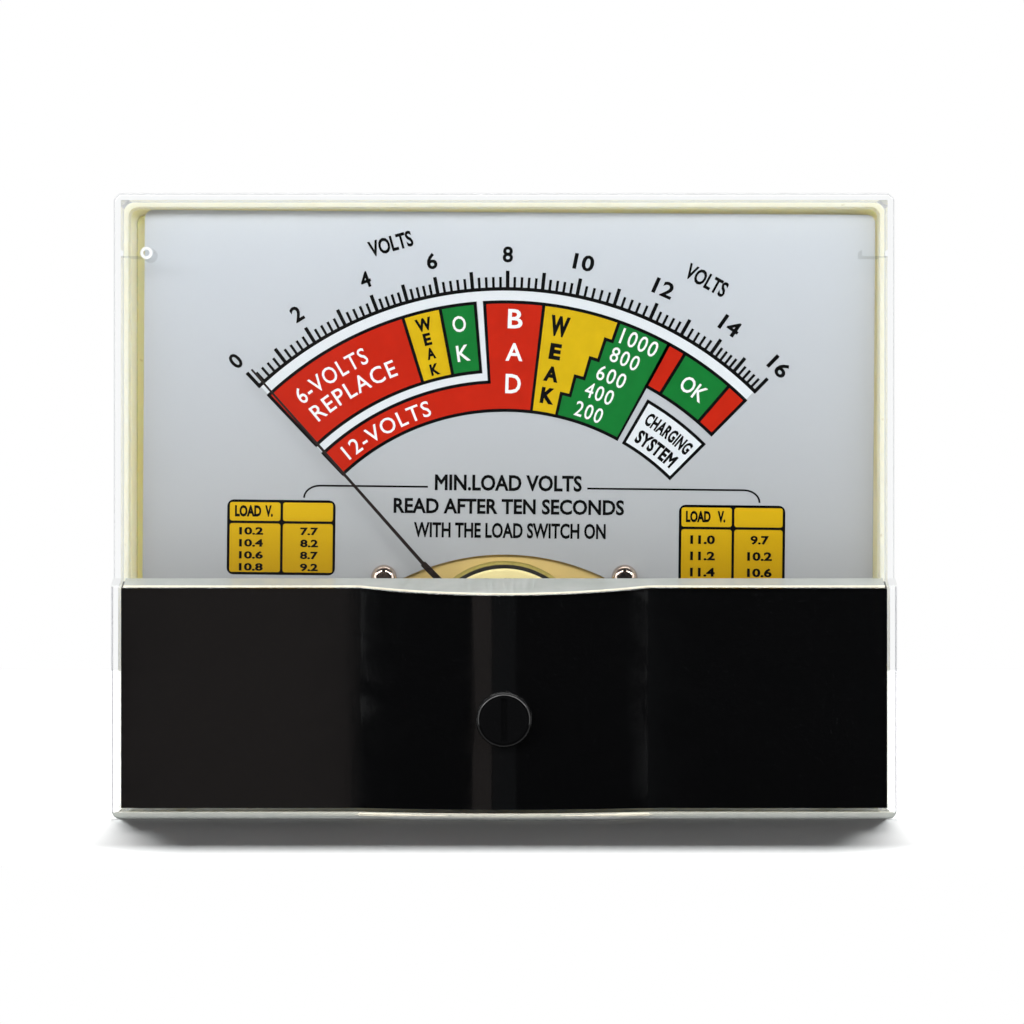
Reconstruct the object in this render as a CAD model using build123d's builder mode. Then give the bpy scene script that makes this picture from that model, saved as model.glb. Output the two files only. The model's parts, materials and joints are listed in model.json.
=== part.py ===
from math import atan, cos, degrees, radians, sin
import os

from build123d import *

os.makedirs("parts", exist_ok=True)

# Moving-coil voltmeter head of a battery tester, made to be fixed in a panel.
#
# Millimetres. The dial looks along -Y, +X is to its right and +Z is up. The origin is the middle of the
# bezel on the panel's front face, so y = 0 is where the meter seats and the can stands behind it.
# A depth is given as "ahead": millimetres in front of the panel face, which is -y.

# ---------------------------------------------------------------- driving dimensions

# clear front cover
COVER_HALF_X = 49.8
COVER_HALF_Z = 39.8
COVER_WALL = 0.85
COVER_CORNER = 1.2
COVER_EDGE = 0.4
COVER_BACK = 0.3
WINDOW_FRONT = 12.0
WINDOW_THICKNESS = 1.2
COVER_INNER_X = COVER_HALF_X - COVER_WALL
COVER_INNER_Z = COVER_HALF_Z - COVER_WALL
WINDOW_BACK = WINDOW_FRONT - WINDOW_THICKNESS

# lower band of the cover, with a round bulge in the middle and a sloped ledge on top
BAND_FRONT = 15.1
BAND_WALL = 1.0
BULGE_RISE = 3.0
BULGE_HALF_CHORD = 18.2
LEDGE_Z = -9.35
LEDGE_FALL = 0.3
LEDGE_THICKNESS = 0.6
BULGE_FRONT = BAND_FRONT + BULGE_RISE

# ribs inside the cover that hold the dial plate down
RIB_Z = 32.2
RIB_THICKNESS = 0.85
RIB_END_X = 45.7
RIB_ROOT_X = 48.2
RIB_POST_RADIUS = 0.9
RIB_CLEARANCE = 0.1

# snap beads of the cover, in grooves of the base
SNAP_X = 30.0
SNAP_LENGTH = 8.0
SNAP_BACK = 1.0
SNAP_HEIGHT = 0.8
SNAP_RISE = 0.45
SNAP_CLEARANCE = 0.1

# black insert behind the band
MASK_GAP = 0.05
MASK_WALL = 1.0
MASK_HALF_X = 48.6
MASK_BOTTOM = -38.45
MASK_BACK = 11.2
MASK_FRONT = BAND_FRONT - BAND_WALL - MASK_GAP

# moulded base: a shallow tray with a round can behind it
BASE_HALF_X = 48.85
BASE_HALF_Z = 38.85
BASE_CORNER = 1.2
RIM_FRONT = 7.5
LIP_HALF_X = 48.3
LIP_HALF_Z = 38.3
STEP_HALF_X = 47.6
STEP_HALF_Z = 37.6
STEP_FRONT = 3.7
FLOOR = 2.0
CAN_Z = -6.0
CAN_RADIUS = 32.0
CAN_BORE = 30.0
CAN_DEPTH = 30.0
CAN_END_WALL = 2.5

# dial plate, which sits slightly crooked on its two screws
DIAL_THICKNESS = 0.8
DIAL_BACK = STEP_FRONT
DIAL_FRONT = DIAL_BACK + DIAL_THICKNESS
DIAL_X = 0.55
DIAL_WIDTH = 94.4
DIAL_TOP = 37.85
DIAL_BOTTOM = -22.0
DIAL_CORNER = 1.1
DIAL_TILT = 0.4
ARCH_RADIUS = 29.5
ARCH_Z = -35.9
DIAL_SCREW_X = 15.55
DIAL_SCREW_Z = -9.4
DIAL_SCREW_RADIUS = 1.25
DIAL_SCREW_HEAD = 1.7
DIAL_SCREW_LENGTH = 3.4
DIAL_HOLE_RADIUS = 1.5
RECESS_LENGTH = 1.9
RECESS_WIDTH = 0.45
RECESS_DEPTH = 0.6

# movement axis, parallel to Y, and the pointer's place at rest
PIVOT_Z = -18.25
PIVOT = (0, PIVOT_Z)
REST_ANGLE = -42.34

# movement frame, set in the mouth of the can
FRAME_BACK = 0.7
FRAME_FRONT = DIAL_BACK
FRAME_RADIUS = 29.5
FRAME_TOP = 2.0
FRAME_BOTTOM = -33.0
FRAME_SCREW_X = 26.5
FRAME_SCREW_RADIUS = 1.5
FRAME_SCREW_HEAD = 2.6
FRAME_SCREW_SEAT = 2.8
FRAME_SCREW_BACK = -6.0
FRAME_SEAT = 2.0
FRAME_HEAD_FRONT = 3.5
BOSS_RADIUS = 4.0
BOSS_BACK = -9.0
SLEEVE_RADIUS = 12.8
SLEEVE_BACK = -6.8
SLEEVE_LIP_RADIUS = 10.0

# yoke ring, core and the carrier that holds the core inside the coil
RING_RADIUS = 11.0
RING_BORE = 8.6
RING_BACK = -6.0
RING_FRONT = 4.6
RING_CHAMFER = 0.3
CORE_RADIUS = 6.2
CORE_BACK = -5.2
CORE_FRONT = 3.6
CORE_CHAMFER = 0.4
BAR_INNER = 6.25
BAR_OUTER = 8.57
BAR_WIDTH = 4.0
BAR_FRONT = 3.4
PLATE_RADIUS = 8.5
PLATE_BACK = -10.2
PLATE_FRONT = -8.9

# front bridge
BRIDGE_RADIUS = 10.1
BRIDGE_BACK = 8.3
BRIDGE_FRONT = 9.4
BRIDGE_EDGE = 0.3
BRIDGE_BOSS_RADIUS = 2.5
BRIDGE_BOSS_FRONT = 10.25
POST_CIRCLE = 9.75
POST_ANGLE = 105.0
POST_RADIUS = 1.1
EAR_RADIUS = 1.7
BRIDGE_SCREW_RADIUS = 0.8
BRIDGE_SCREW_HEAD = 1.5
BRIDGE_SCREW_HEIGHT = 1.1
BRIDGE_SCREW_BACK = 1.0

# bearing screws, jewels and lock nuts
JEWEL_SCREW_RADIUS = 1.5
FRONT_SCREW_BACK = 8.0
FRONT_SCREW_FRONT = 12.6
REAR_SCREW_BACK = -13.5
REAR_SCREW_FRONT = -9.1
JEWEL_RADIUS = 0.88
JEWEL_LENGTH = 1.15
CUP_MOUTH = 0.7
CUP_DEPTH = 0.7
CUP_END = 0.05
SCREW_SLOT = 0.5
NUT_ACROSS_FLATS = 5.0
NUT_HEIGHT = 1.2
THREAD_GAP = 0.03

# staffs: the coil's two half-axles, each with a flange, a collet and a pointed end
STAFF_RADIUS = 0.45
STAFF_FLANGE = 1.8
FLANGE_THICKNESS = 0.4
COLLET_RADIUS = 0.95
COLLET_LENGTH = 0.6
SHOULDER_DEPTH = 0.05
PIVOT_LENGTH = 0.55
PIVOT_END = 0.04

# coil
COIL_HALF_INNER = 6.6
FORMER_THICKNESS = 0.3
WINDING_THICKNESS = 1.0
COIL_BACK = -5.8
COIL_FRONT = 4.2
FORMER_WIDTH = 2.8
WINDING_WIDTH = 2.4
WINDING_CORNER = 0.5

# pointer: a flat arm, a thin needle set at a slight bend, a tail and two balance arms
POINTER_BACK = 6.5
POINTER_FRONT = 6.8
HUB_RADIUS = 1.7
HUB_GAP = 0.01
HUB_BACK = 6.0
HUB_FRONT = 7.0
ARM_LENGTH = 15.0
ARM_ANGLE = -44.3
ARM_WIDTH = 0.8
NEEDLE_REACH = 48.3
NEEDLE_ROOT = 0.45
NEEDLE_TIP = 0.25
TAIL_LENGTH = 7.6
BALANCE_LENGTH = 6.9
BALANCE_RADIUS = 0.2
WEIGHT_PLACE = 5.1
WEIGHT_GAP = 0.06
ARM_WEIGHT = (0.6, 1.4)
TAIL_WEIGHT = (1.05, 2.1)

# hairsprings
SPRING_THICKNESS = 0.12
SPRING_HEIGHT = 0.4
SPRING_INNER = 1.02
SPRING_OUTER = 4.9
SPRING_TURNS = 5
FRONT_SPRING_BACK = 7.45
REAR_SPRING_BACK = -8.5
SPRING_END_ANGLE = 60.0
SPRING_POST_RADIUS = 0.45

# zero lever: a ring on the bridge's boss, a tab that holds the front spring, and a fork
LEVER_BACK = 9.6
LEVER_FRONT = 10.1
LEVER_BORE = 2.55
LEVER_RING = 3.8
LEVER_ARM = 2.4
FORK_WIDTH = 3.1
FORK_SLOT = 1.3
FORK_START = 8.7
FORK_END = 11.2
TAB_WIDTH = 1.2
TAB_SLOT_LENGTH = 2.7
TAB_SLOT_WIDTH = 1.7

# zero adjuster, a slotted screw in the bulge with an eccentric pin in the lever's fork
ADJUSTER_Z = -27.0
ADJUSTER_RADIUS = 3.5
ADJUSTER_FRONT = 19.0
ADJUSTER_BACK = 17.65
ADJUSTER_SEAT = 17.6
ADJUSTER_SEAT_RADIUS = 3.6
ADJUSTER_RIM = 0.5
ADJUSTER_SLOT_WIDTH = 0.8
ADJUSTER_SLOT_LENGTH = 5.4
ADJUSTER_SLOT_DEPTH = 0.7
ADJUSTER_SHAFT = 1.9
ADJUSTER_HOLE = 1.98
ADJUSTER_SHAFT_BACK = 13.0
PIN_THROW = 1.2
PIN_RADIUS = 0.5
PIN_BACK = 9.45
CLIP_BACK = 15.3
CLIP_FRONT = 15.8
CLIP_RADIUS = 3.0
CLIP_BORE = 1.45
CLIP_GAP = 1.8
GROOVE_RADIUS = 1.4
GROOVE_PLAY = 0.05

# pointer stops
STOP_CIRCLE = 12.5
STOP_ANGLE = 60.0
STOP_RADIUS = 0.6
STOP_FRONT = 7.4
STOP_SLEEVE_RADIUS = 0.9
STOP_SLEEVE_BACK = 5.6

# terminals on the can's end wall
TERMINAL_X = 16.0
TERMINAL_Z = -6.0
TERMINAL_RADIUS = 2.5
TERMINAL_PITCH_RADIUS = 2.24
TERMINAL_END = -46.0
TERMINAL_HOLE = 2.6
TERMINAL_AF = 8.0
TERMINAL_HEAD_HEIGHT = 3.5
TERMINAL_WASHER = 5.0
TERMINAL_WASHER_THICKNESS = 1.0
TERMINAL_NUT_HEIGHT = 4.0
LUG_RADIUS = 4.2
LUG_THICKNESS = 0.7
LUG_TAIL = 7.5
LUG_TAIL_WIDTH = 3.0
CAN_INSIDE = -(CAN_DEPTH - CAN_END_WALL)

# panel studs moulded into the corners of the base
STUD_X = 42.0
STUD_Z = 32.0
STUD_RADIUS = 1.5
STUD_SHANK_RADIUS = 1.9
STUD_END = -14.0
STUD_HEAD = 3.0
STUD_HEAD_BACK = 1.0

# wiring in the can
WIRE_RADIUS = 0.6
LEAD_RADIUS = 0.35
RESISTOR_RADIUS = 1.8
RESISTOR_LENGTH = 10.0
RESISTOR_AT = Vector(4, 22, 9)
RESISTOR_WAIST = 1.4
RESISTOR_CAP = 2.0
FRONT_LUG_REACH = 12.2
FRONT_LUG_ANGLE = -120.0
FRONT_LUG_WIDTH = 1.6
FRONT_LUG_THICKNESS = 0.3
WIRE_HOLE = (-15.0, -27.5)
WIRE_HOLE_RADIUS = 1.2
REAR_LUG_BACK = -13.0
REAR_LUG_FLANGE = 1.4
REAR_LUG_FLANGE_THICKNESS = 0.6


# ---------------------------------------------------------------- helpers


def facing(ahead):
    """Sketch plane that looks out of the front: local x is +X and local y is +Z."""
    return Plane(origin=(0, -ahead, 0), x_dir=(1, 0, 0), z_dir=(0, -1, 0))


def around_pivot(radius, angle):
    """(x, z) at a distance from the movement axis, the angle clockwise from straight up."""
    return (radius * sin(radians(angle)), PIVOT_Z + radius * cos(radians(angle)))


def rod(radius, back, front, *centres):
    """Round bar along Y at each (x, z) centre."""
    with BuildPart() as bar:
        with BuildSketch(facing(back)):
            with Locations(*centres):
                Circle(radius)
        extrude(amount=front - back)
    return bar.part


def ring(outer, inner, back, front, *centres):
    """Plain ring or washer along Y at each (x, z) centre."""
    with BuildPart() as washer:
        with BuildSketch(facing(back)):
            with Locations(*centres):
                Circle(outer)
                Circle(inner, mode=Mode.SUBTRACT)
        extrude(amount=front - back)
    return washer.part


def block(width, height, back, front, *centres, rotation=0):
    """Rectangular bar along Y at each (x, z) centre."""
    with BuildPart() as bar:
        with BuildSketch(facing(back)):
            with Locations(*centres):
                Rectangle(width, height, rotation=rotation)
        extrude(amount=front - back)
    return bar.part


def hexagon(across_flats, back, front, *centres):
    """Hexagonal bar along Y at each (x, z) centre."""
    with BuildPart() as bar:
        with BuildSketch(facing(back)):
            with Locations(*centres):
                RegularPolygon(across_flats / 2, 6, major_radius=False)
        extrude(amount=front - back)
    return bar.part


def cone(start_radius, end_radius, start, end, centre):
    """Cone along Y from one depth to another."""
    with BuildPart() as taper:
        with BuildSketch(facing(start)):
            with Locations(centre):
                Circle(start_radius)
        with BuildSketch(facing(end)):
            with Locations(centre):
                Circle(end_radius)
        loft()
    return taper.part


def bar_between(start, end, radius):
    """Round bar from one point to another."""
    with BuildPart() as bar:
        with BuildSketch(Plane(origin=start, z_dir=end - start)):
            Circle(radius)
        extrude(amount=(end - start).length)
    return bar.part


def wire(radius, bend, *points):
    """Wire of straight runs joined by bends of one radius."""
    with BuildPart() as strand:
        with BuildLine() as route:
            FilletPolyline(*points, radius=bend)
        with BuildSketch(Plane(origin=route.line @ 0, z_dir=route.line % 0)):
            Circle(radius)
        sweep()
    return strand.part


def strip(start, end, start_width, end_width):
    """Flat face between two points of a sketch, tapering from one width to the other."""
    along = Vector(*end) - Vector(*start)
    side = along.normalized().rotate(Axis.Z, 90)
    corners = [
        Vector(*start) + side * (start_width / 2),
        Vector(*start) - side * (start_width / 2),
        Vector(*end) - side * (end_width / 2),
        Vector(*end) + side * (end_width / 2),
    ]
    with BuildSketch() as face:
        with BuildLine():
            Polyline(*corners, close=True)
        make_face()
    return face.sketch


def band_block(half_x, bottom_z, back, front, ledge_drop):
    """Solid of the band: flat front with a round bulge, and a top that slopes down to the front."""
    ledge = Plane(
        origin=(0, -WINDOW_FRONT, LEDGE_Z - ledge_drop),
        x_dir=(1, 0, 0),
        z_dir=(0, -LEDGE_FALL, 1),
    )
    with BuildPart() as solid:
        with BuildSketch(Plane.XY.offset(bottom_z)):
            with BuildLine():
                Polyline(
                    (-BULGE_HALF_CHORD, -front),
                    (-half_x, -front),
                    (-half_x, -back),
                    (half_x, -back),
                    (half_x, -front),
                    (BULGE_HALF_CHORD, -front),
                )
                ThreePointArc(
                    (BULGE_HALF_CHORD, -front),
                    (0, -front - BULGE_RISE),
                    (-BULGE_HALF_CHORD, -front),
                )
            make_face()
        extrude(amount=LEDGE_Z + BULGE_RISE - bottom_z)
        split(bisect_by=ledge, keep=Keep.BOTTOM)
    return solid.part


def hairspring(back):
    """Flat spiral of half turns, each half turn a little wider than the last."""
    growth = (SPRING_OUTER - SPRING_INNER) / (2 * SPRING_TURNS)
    start_angle = 90 - SPRING_END_ANGLE
    shift = Vector(growth, 0).rotate(Axis.Z, start_angle)
    middle = Vector(*PIVOT)
    with BuildPart() as spiral:
        with BuildSketch(facing(back)):
            with BuildLine():
                for half_turn in range(2 * SPRING_TURNS):
                    odd = half_turn % 2
                    CenterArc(
                        middle + shift * odd,
                        SPRING_INNER + growth * half_turn,
                        start_angle + 180 * odd,
                        180,
                    )
            trace(line_width=SPRING_THICKNESS)
        extrude(amount=SPRING_HEIGHT)
    return spiral.part


# ---------------------------------------------------------------- places used by several pieces

DIAL_SCREWS = [(-DIAL_SCREW_X, DIAL_SCREW_Z), (DIAL_SCREW_X, DIAL_SCREW_Z)]
FRAME_SCREWS = [(-FRAME_SCREW_X, CAN_Z), (FRAME_SCREW_X, CAN_Z)]
BRIDGE_POSTS = [around_pivot(POST_CIRCLE, -POST_ANGLE), around_pivot(POST_CIRCLE, POST_ANGLE)]
STOPS = [around_pivot(STOP_CIRCLE, -STOP_ANGLE), around_pivot(STOP_CIRCLE, STOP_ANGLE)]
TERMINALS = [(-TERMINAL_X, TERMINAL_Z), (TERMINAL_X, TERMINAL_Z)]
STUDS = [(x, z) for x in (-STUD_X, STUD_X) for z in (-STUD_Z, STUD_Z)]
SNAPS = [(x, z) for x in (-SNAP_X, SNAP_X) for z in (-1, 1)]
ADJUSTER = (0, ADJUSTER_Z)
ADJUSTER_PIN = (0, ADJUSTER_Z - PIN_THROW)

# the posts that hold the springs' outer ends stand just past the end of the strip
POST_SHIFT = degrees((SPRING_POST_RADIUS + SPRING_THICKNESS / 2) / SPRING_OUTER)
SPRING_POST_ANGLE = SPRING_END_ANGLE - POST_SHIFT
SPRING_POST = around_pivot(SPRING_OUTER, SPRING_POST_ANGLE)


# ---------------------------------------------------------------- cover, mask, base

# Clear acrylic cover: window, sides, and the lower band that stands forward.
with BuildPart() as front_cover:
    with BuildSketch(facing(COVER_BACK)):
        RectangleRounded(2 * COVER_HALF_X, 2 * COVER_HALF_Z, COVER_CORNER)
    extrude(amount=WINDOW_FRONT - COVER_BACK)
    add(band_block(COVER_HALF_X, -COVER_HALF_Z, WINDOW_BACK, BAND_FRONT, 0))
    with BuildSketch(facing(COVER_BACK)):
        RectangleRounded(2 * COVER_HALF_X, 2 * COVER_HALF_Z, COVER_CORNER)
    extrude(amount=BULGE_FRONT, mode=Mode.INTERSECT)
    front_faces = front_cover.faces().filter_by(lambda face: face.center().Y <= -WINDOW_FRONT)
    outward = front_faces.filter_by(lambda face: abs(face.normal_at().Y) > 0.9)
    fillet(outward.edges().filter_by(lambda edge: edge.center().Z != LEDGE_Z), COVER_EDGE)
    with BuildSketch(facing(COVER_BACK)):
        Rectangle(2 * COVER_INNER_X, 2 * COVER_INNER_Z)
    extrude(amount=WINDOW_BACK - COVER_BACK, mode=Mode.SUBTRACT)
    cavity_front = BAND_FRONT - BAND_WALL
    add(
        band_block(COVER_INNER_X, -COVER_INNER_Z, WINDOW_BACK - 1, cavity_front, LEDGE_THICKNESS),
        mode=Mode.SUBTRACT,
    )
    rib_back = DIAL_FRONT + RIB_CLEARANCE
    for root_x, back in ((COVER_INNER_X, RIM_FRONT + RIB_CLEARANCE), (RIB_ROOT_X, rib_back)):
        for side in (-1, 1):
            rib_centre = (side * (root_x + RIB_END_X) / 2, RIB_Z)
            add(block(root_x - RIB_END_X, RIB_THICKNESS, back, WINDOW_BACK, rib_centre))
    add(rod(RIB_POST_RADIUS, rib_back, WINDOW_BACK, (-RIB_END_X, RIB_Z)))
    for x, side in SNAPS:
        bead_z = side * (COVER_INNER_Z - SNAP_RISE / 2)
        add(block(SNAP_LENGTH, SNAP_RISE, SNAP_BACK, SNAP_BACK + SNAP_HEIGHT, (x, bead_z)))
    add(rod(ADJUSTER_HOLE, MASK_BACK, BULGE_FRONT, ADJUSTER), mode=Mode.SUBTRACT)
    add(rod(ADJUSTER_SEAT_RADIUS, ADJUSTER_SEAT, BULGE_FRONT, ADJUSTER), mode=Mode.SUBTRACT)

# Black insert: follows the inside of the band, open behind and at the top.
with BuildPart() as lower_mask:
    mask_drop = LEDGE_THICKNESS + MASK_GAP
    add(band_block(MASK_HALF_X, MASK_BOTTOM, MASK_BACK, MASK_FRONT, mask_drop))
    add(
        band_block(
            MASK_HALF_X - MASK_WALL,
            MASK_BOTTOM + MASK_WALL,
            MASK_BACK - 1,
            MASK_FRONT - MASK_WALL,
            mask_drop - BULGE_RISE,
        ),
        mode=Mode.SUBTRACT,
    )
    add(rod(ADJUSTER_HOLE, MASK_BACK, BULGE_FRONT, ADJUSTER), mode=Mode.SUBTRACT)

# Base: rim with a lip and a step round the dial, floor, and the can that goes through the panel.
with BuildPart() as base:
    with BuildSketch(facing(0)):
        RectangleRounded(2 * BASE_HALF_X, 2 * BASE_HALF_Z, BASE_CORNER)
    extrude(amount=RIM_FRONT)
    with BuildSketch(facing(STEP_FRONT)):
        RectangleRounded(2 * LIP_HALF_X, 2 * LIP_HALF_Z, BASE_CORNER)
    extrude(amount=RIM_FRONT - STEP_FRONT, mode=Mode.SUBTRACT)
    with BuildSketch(facing(FLOOR)):
        RectangleRounded(2 * STEP_HALF_X, 2 * STEP_HALF_Z, BASE_CORNER)
    extrude(amount=STEP_FRONT - FLOOR, mode=Mode.SUBTRACT)
    add(rod(CAN_RADIUS, -CAN_DEPTH, 0, (0, CAN_Z)))
    add(rod(CAN_BORE, CAN_INSIDE, FLOOR, (0, CAN_Z)), mode=Mode.SUBTRACT)
    bosses = rod(BOSS_RADIUS, BOSS_BACK, FRAME_BACK, *FRAME_SCREWS)
    add(bosses & rod(CAN_RADIUS, BOSS_BACK, FRAME_BACK, (0, CAN_Z)))
    add(rod(FRAME_SCREW_RADIUS, FRAME_SCREW_BACK, FRAME_BACK, *FRAME_SCREWS), mode=Mode.SUBTRACT)
    add(rod(TERMINAL_HOLE, -CAN_DEPTH, CAN_INSIDE, *TERMINALS), mode=Mode.SUBTRACT)
    add(rod(STUD_SHANK_RADIUS + THREAD_GAP, 0, FLOOR, *STUDS), mode=Mode.SUBTRACT)
    add(rod(STUD_HEAD + THREAD_GAP, STUD_HEAD_BACK, FLOOR, *STUDS), mode=Mode.SUBTRACT)
    for x, side in SNAPS:
        groove_z = side * (BASE_HALF_Z - SNAP_RISE / 2)
        groove_back = SNAP_BACK - SNAP_CLEARANCE
        groove_front = SNAP_BACK + SNAP_HEIGHT + SNAP_CLEARANCE
        groove_length = SNAP_LENGTH + 2 * SNAP_CLEARANCE
        add(
            block(groove_length, SNAP_RISE, groove_back, groove_front, (x, groove_z)),
            mode=Mode.SUBTRACT,
        )

# Threaded studs for the panel, their round heads and thicker shanks set in the floor of the base.
with BuildPart() as mounting_studs:
    add(rod(STUD_RADIUS, STUD_END, 0, *STUDS))
    add(rod(STUD_SHANK_RADIUS, 0, FLOOR, *STUDS))
    add(rod(STUD_HEAD, STUD_HEAD_BACK, FLOOR, *STUDS))


# ---------------------------------------------------------------- dial plate

# Printed plate with an arched cut-out over the movement.
with BuildPart() as dial_plate:
    with BuildSketch(facing(DIAL_BACK)):
        with Locations((DIAL_X, (DIAL_TOP + DIAL_BOTTOM) / 2)):
            RectangleRounded(DIAL_WIDTH, DIAL_TOP - DIAL_BOTTOM, DIAL_CORNER, rotation=-DIAL_TILT)
        with Locations((0, ARCH_Z)):
            Circle(ARCH_RADIUS, mode=Mode.SUBTRACT)
        with Locations(*DIAL_SCREWS):
            Circle(DIAL_HOLE_RADIUS, mode=Mode.SUBTRACT)
    extrude(amount=DIAL_THICKNESS)

# Domed screws that hold the plate on the movement frame.
with BuildPart() as dial_screws:
    head_front = DIAL_FRONT + DIAL_SCREW_RADIUS
    add(rod(DIAL_SCREW_HEAD, DIAL_FRONT, head_front, *DIAL_SCREWS))
    fillet(dial_screws.edges().group_by(Axis.Y)[0], DIAL_SCREW_RADIUS * 0.8)
    add(rod(DIAL_SCREW_RADIUS, DIAL_FRONT - DIAL_SCREW_LENGTH, DIAL_FRONT, *DIAL_SCREWS))
    recess_back = head_front - RECESS_DEPTH
    for turn in (0, 90):
        add(
            block(RECESS_LENGTH, RECESS_WIDTH, recess_back, head_front, *DIAL_SCREWS, rotation=turn),
            mode=Mode.SUBTRACT,
        )


# ---------------------------------------------------------------- fixed parts of the movement

# Moulded frame in the mouth of the can, with a sleeve and a lip that hold the yoke ring.
with BuildPart() as movement_frame:
    with BuildSketch(facing(FRAME_BACK)):
        with Locations((0, CAN_Z)):
            Circle(FRAME_RADIUS)
        with Locations((0, (FRAME_TOP + FRAME_BOTTOM) / 2)):
            Rectangle(2 * FRAME_RADIUS, FRAME_TOP - FRAME_BOTTOM, mode=Mode.INTERSECT)
    extrude(amount=FRAME_FRONT - FRAME_BACK)
    add(rod(SLEEVE_RADIUS, SLEEVE_BACK, FRAME_BACK, PIVOT))
    add(rod(RING_RADIUS + THREAD_GAP, RING_BACK, FRAME_FRONT, PIVOT), mode=Mode.SUBTRACT)
    add(rod(SLEEVE_LIP_RADIUS, SLEEVE_BACK, RING_BACK, PIVOT), mode=Mode.SUBTRACT)
    add(
        rod(DIAL_SCREW_RADIUS + THREAD_GAP, FRAME_BACK, FRAME_FRONT, *DIAL_SCREWS),
        mode=Mode.SUBTRACT,
    )
    add(
        rod(FRAME_SCREW_RADIUS + THREAD_GAP, FRAME_BACK, FRAME_FRONT, *FRAME_SCREWS),
        mode=Mode.SUBTRACT,
    )
    add(rod(FRAME_SCREW_SEAT, FRAME_SEAT, FRAME_FRONT, *FRAME_SCREWS), mode=Mode.SUBTRACT)
    add(rod(WIRE_HOLE_RADIUS, FRAME_BACK, FRAME_FRONT, WIRE_HOLE), mode=Mode.SUBTRACT)

# Screws that hold the frame on the bosses of the can.
with BuildPart() as frame_screws:
    add(rod(FRAME_SCREW_RADIUS, FRAME_SCREW_BACK, FRAME_SEAT, *FRAME_SCREWS))
    add(rod(FRAME_SCREW_HEAD, FRAME_SEAT, FRAME_HEAD_FRONT, *FRAME_SCREWS))
    add(
        block(2 * FRAME_SCREW_HEAD, SCREW_SLOT, FRAME_HEAD_FRONT - SCREW_SLOT, FRAME_HEAD_FRONT,
              *FRAME_SCREWS),
        mode=Mode.SUBTRACT,
    )

# Soft-iron ring that closes the magnet's field round the coil.
with BuildPart() as yoke_ring:
    add(ring(RING_RADIUS, RING_BORE, RING_BACK, RING_FRONT, PIVOT))
    front_rim = yoke_ring.edges().group_by(Axis.Y)[0].sort_by(SortBy.RADIUS)[-1]
    chamfer(front_rim, RING_CHAMFER)
    add(
        rod(BRIDGE_SCREW_RADIUS + THREAD_GAP, BRIDGE_SCREW_BACK, RING_FRONT, *BRIDGE_POSTS),
        mode=Mode.SUBTRACT,
    )

# Cylindrical magnet inside the coil.
with BuildPart() as core_magnet:
    add(rod(CORE_RADIUS, CORE_BACK, CORE_FRONT, PIVOT))
    chamfer(core_magnet.edges().filter_by(GeomType.CIRCLE), CORE_CHAMFER)

# Non-magnetic carrier: a plate behind the coil and two bars that wedge the core in the ring.
with BuildPart() as core_carrier:
    add(rod(PLATE_RADIUS, PLATE_BACK, PLATE_FRONT, PIVOT))
    with BuildSketch(facing(PLATE_BACK)):
        with Locations(PIVOT):
            Circle(BAR_OUTER)
            Circle(BAR_INNER, mode=Mode.SUBTRACT)
            Rectangle(BAR_WIDTH, 2 * BAR_OUTER, mode=Mode.INTERSECT)
    extrude(amount=BAR_FRONT - PLATE_BACK)
    add(rod(JEWEL_SCREW_RADIUS + THREAD_GAP, PLATE_BACK, PLATE_FRONT, PIVOT), mode=Mode.SUBTRACT)
    add(rod(SPRING_POST_RADIUS + THREAD_GAP, PLATE_BACK, PLATE_FRONT, SPRING_POST), mode=Mode.SUBTRACT)

# Front bridge: a disc on two posts, with a boss for the bearing screw and the zero lever.
with BuildPart() as front_bridge:
    add(rod(BRIDGE_RADIUS, BRIDGE_BACK, BRIDGE_FRONT, PIVOT))
    fillet(front_bridge.edges().group_by(Axis.Y)[0], BRIDGE_EDGE)
    add(rod(EAR_RADIUS, BRIDGE_BACK, BRIDGE_FRONT, *BRIDGE_POSTS))
    add(rod(POST_RADIUS, RING_FRONT, BRIDGE_BACK, *BRIDGE_POSTS))
    add(rod(BRIDGE_BOSS_RADIUS, BRIDGE_FRONT, BRIDGE_BOSS_FRONT, PIVOT))
    add(
        rod(JEWEL_SCREW_RADIUS + THREAD_GAP, BRIDGE_BACK, BRIDGE_BOSS_FRONT, PIVOT),
        mode=Mode.SUBTRACT,
    )
    add(
        rod(BRIDGE_SCREW_RADIUS + THREAD_GAP, RING_FRONT, BRIDGE_FRONT, *BRIDGE_POSTS),
        mode=Mode.SUBTRACT,
    )
    with BuildSketch(facing(BRIDGE_BACK)):
        with Locations(SPRING_POST):
            SlotOverall(TAB_SLOT_LENGTH, TAB_SLOT_WIDTH, rotation=-SPRING_POST_ANGLE)
    extrude(amount=BRIDGE_FRONT - BRIDGE_BACK, mode=Mode.SUBTRACT)

# Screws through the bridge's posts into the ring.
with BuildPart() as bridge_screws:
    add(rod(BRIDGE_SCREW_RADIUS, BRIDGE_SCREW_BACK, BRIDGE_FRONT, *BRIDGE_POSTS))
    screw_front = BRIDGE_FRONT + BRIDGE_SCREW_HEIGHT
    add(rod(BRIDGE_SCREW_HEAD, BRIDGE_FRONT, screw_front, *BRIDGE_POSTS))
    add(
        block(2 * BRIDGE_SCREW_HEAD, SCREW_SLOT, screw_front - SCREW_SLOT, screw_front, *BRIDGE_POSTS),
        mode=Mode.SUBTRACT,
    )

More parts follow.
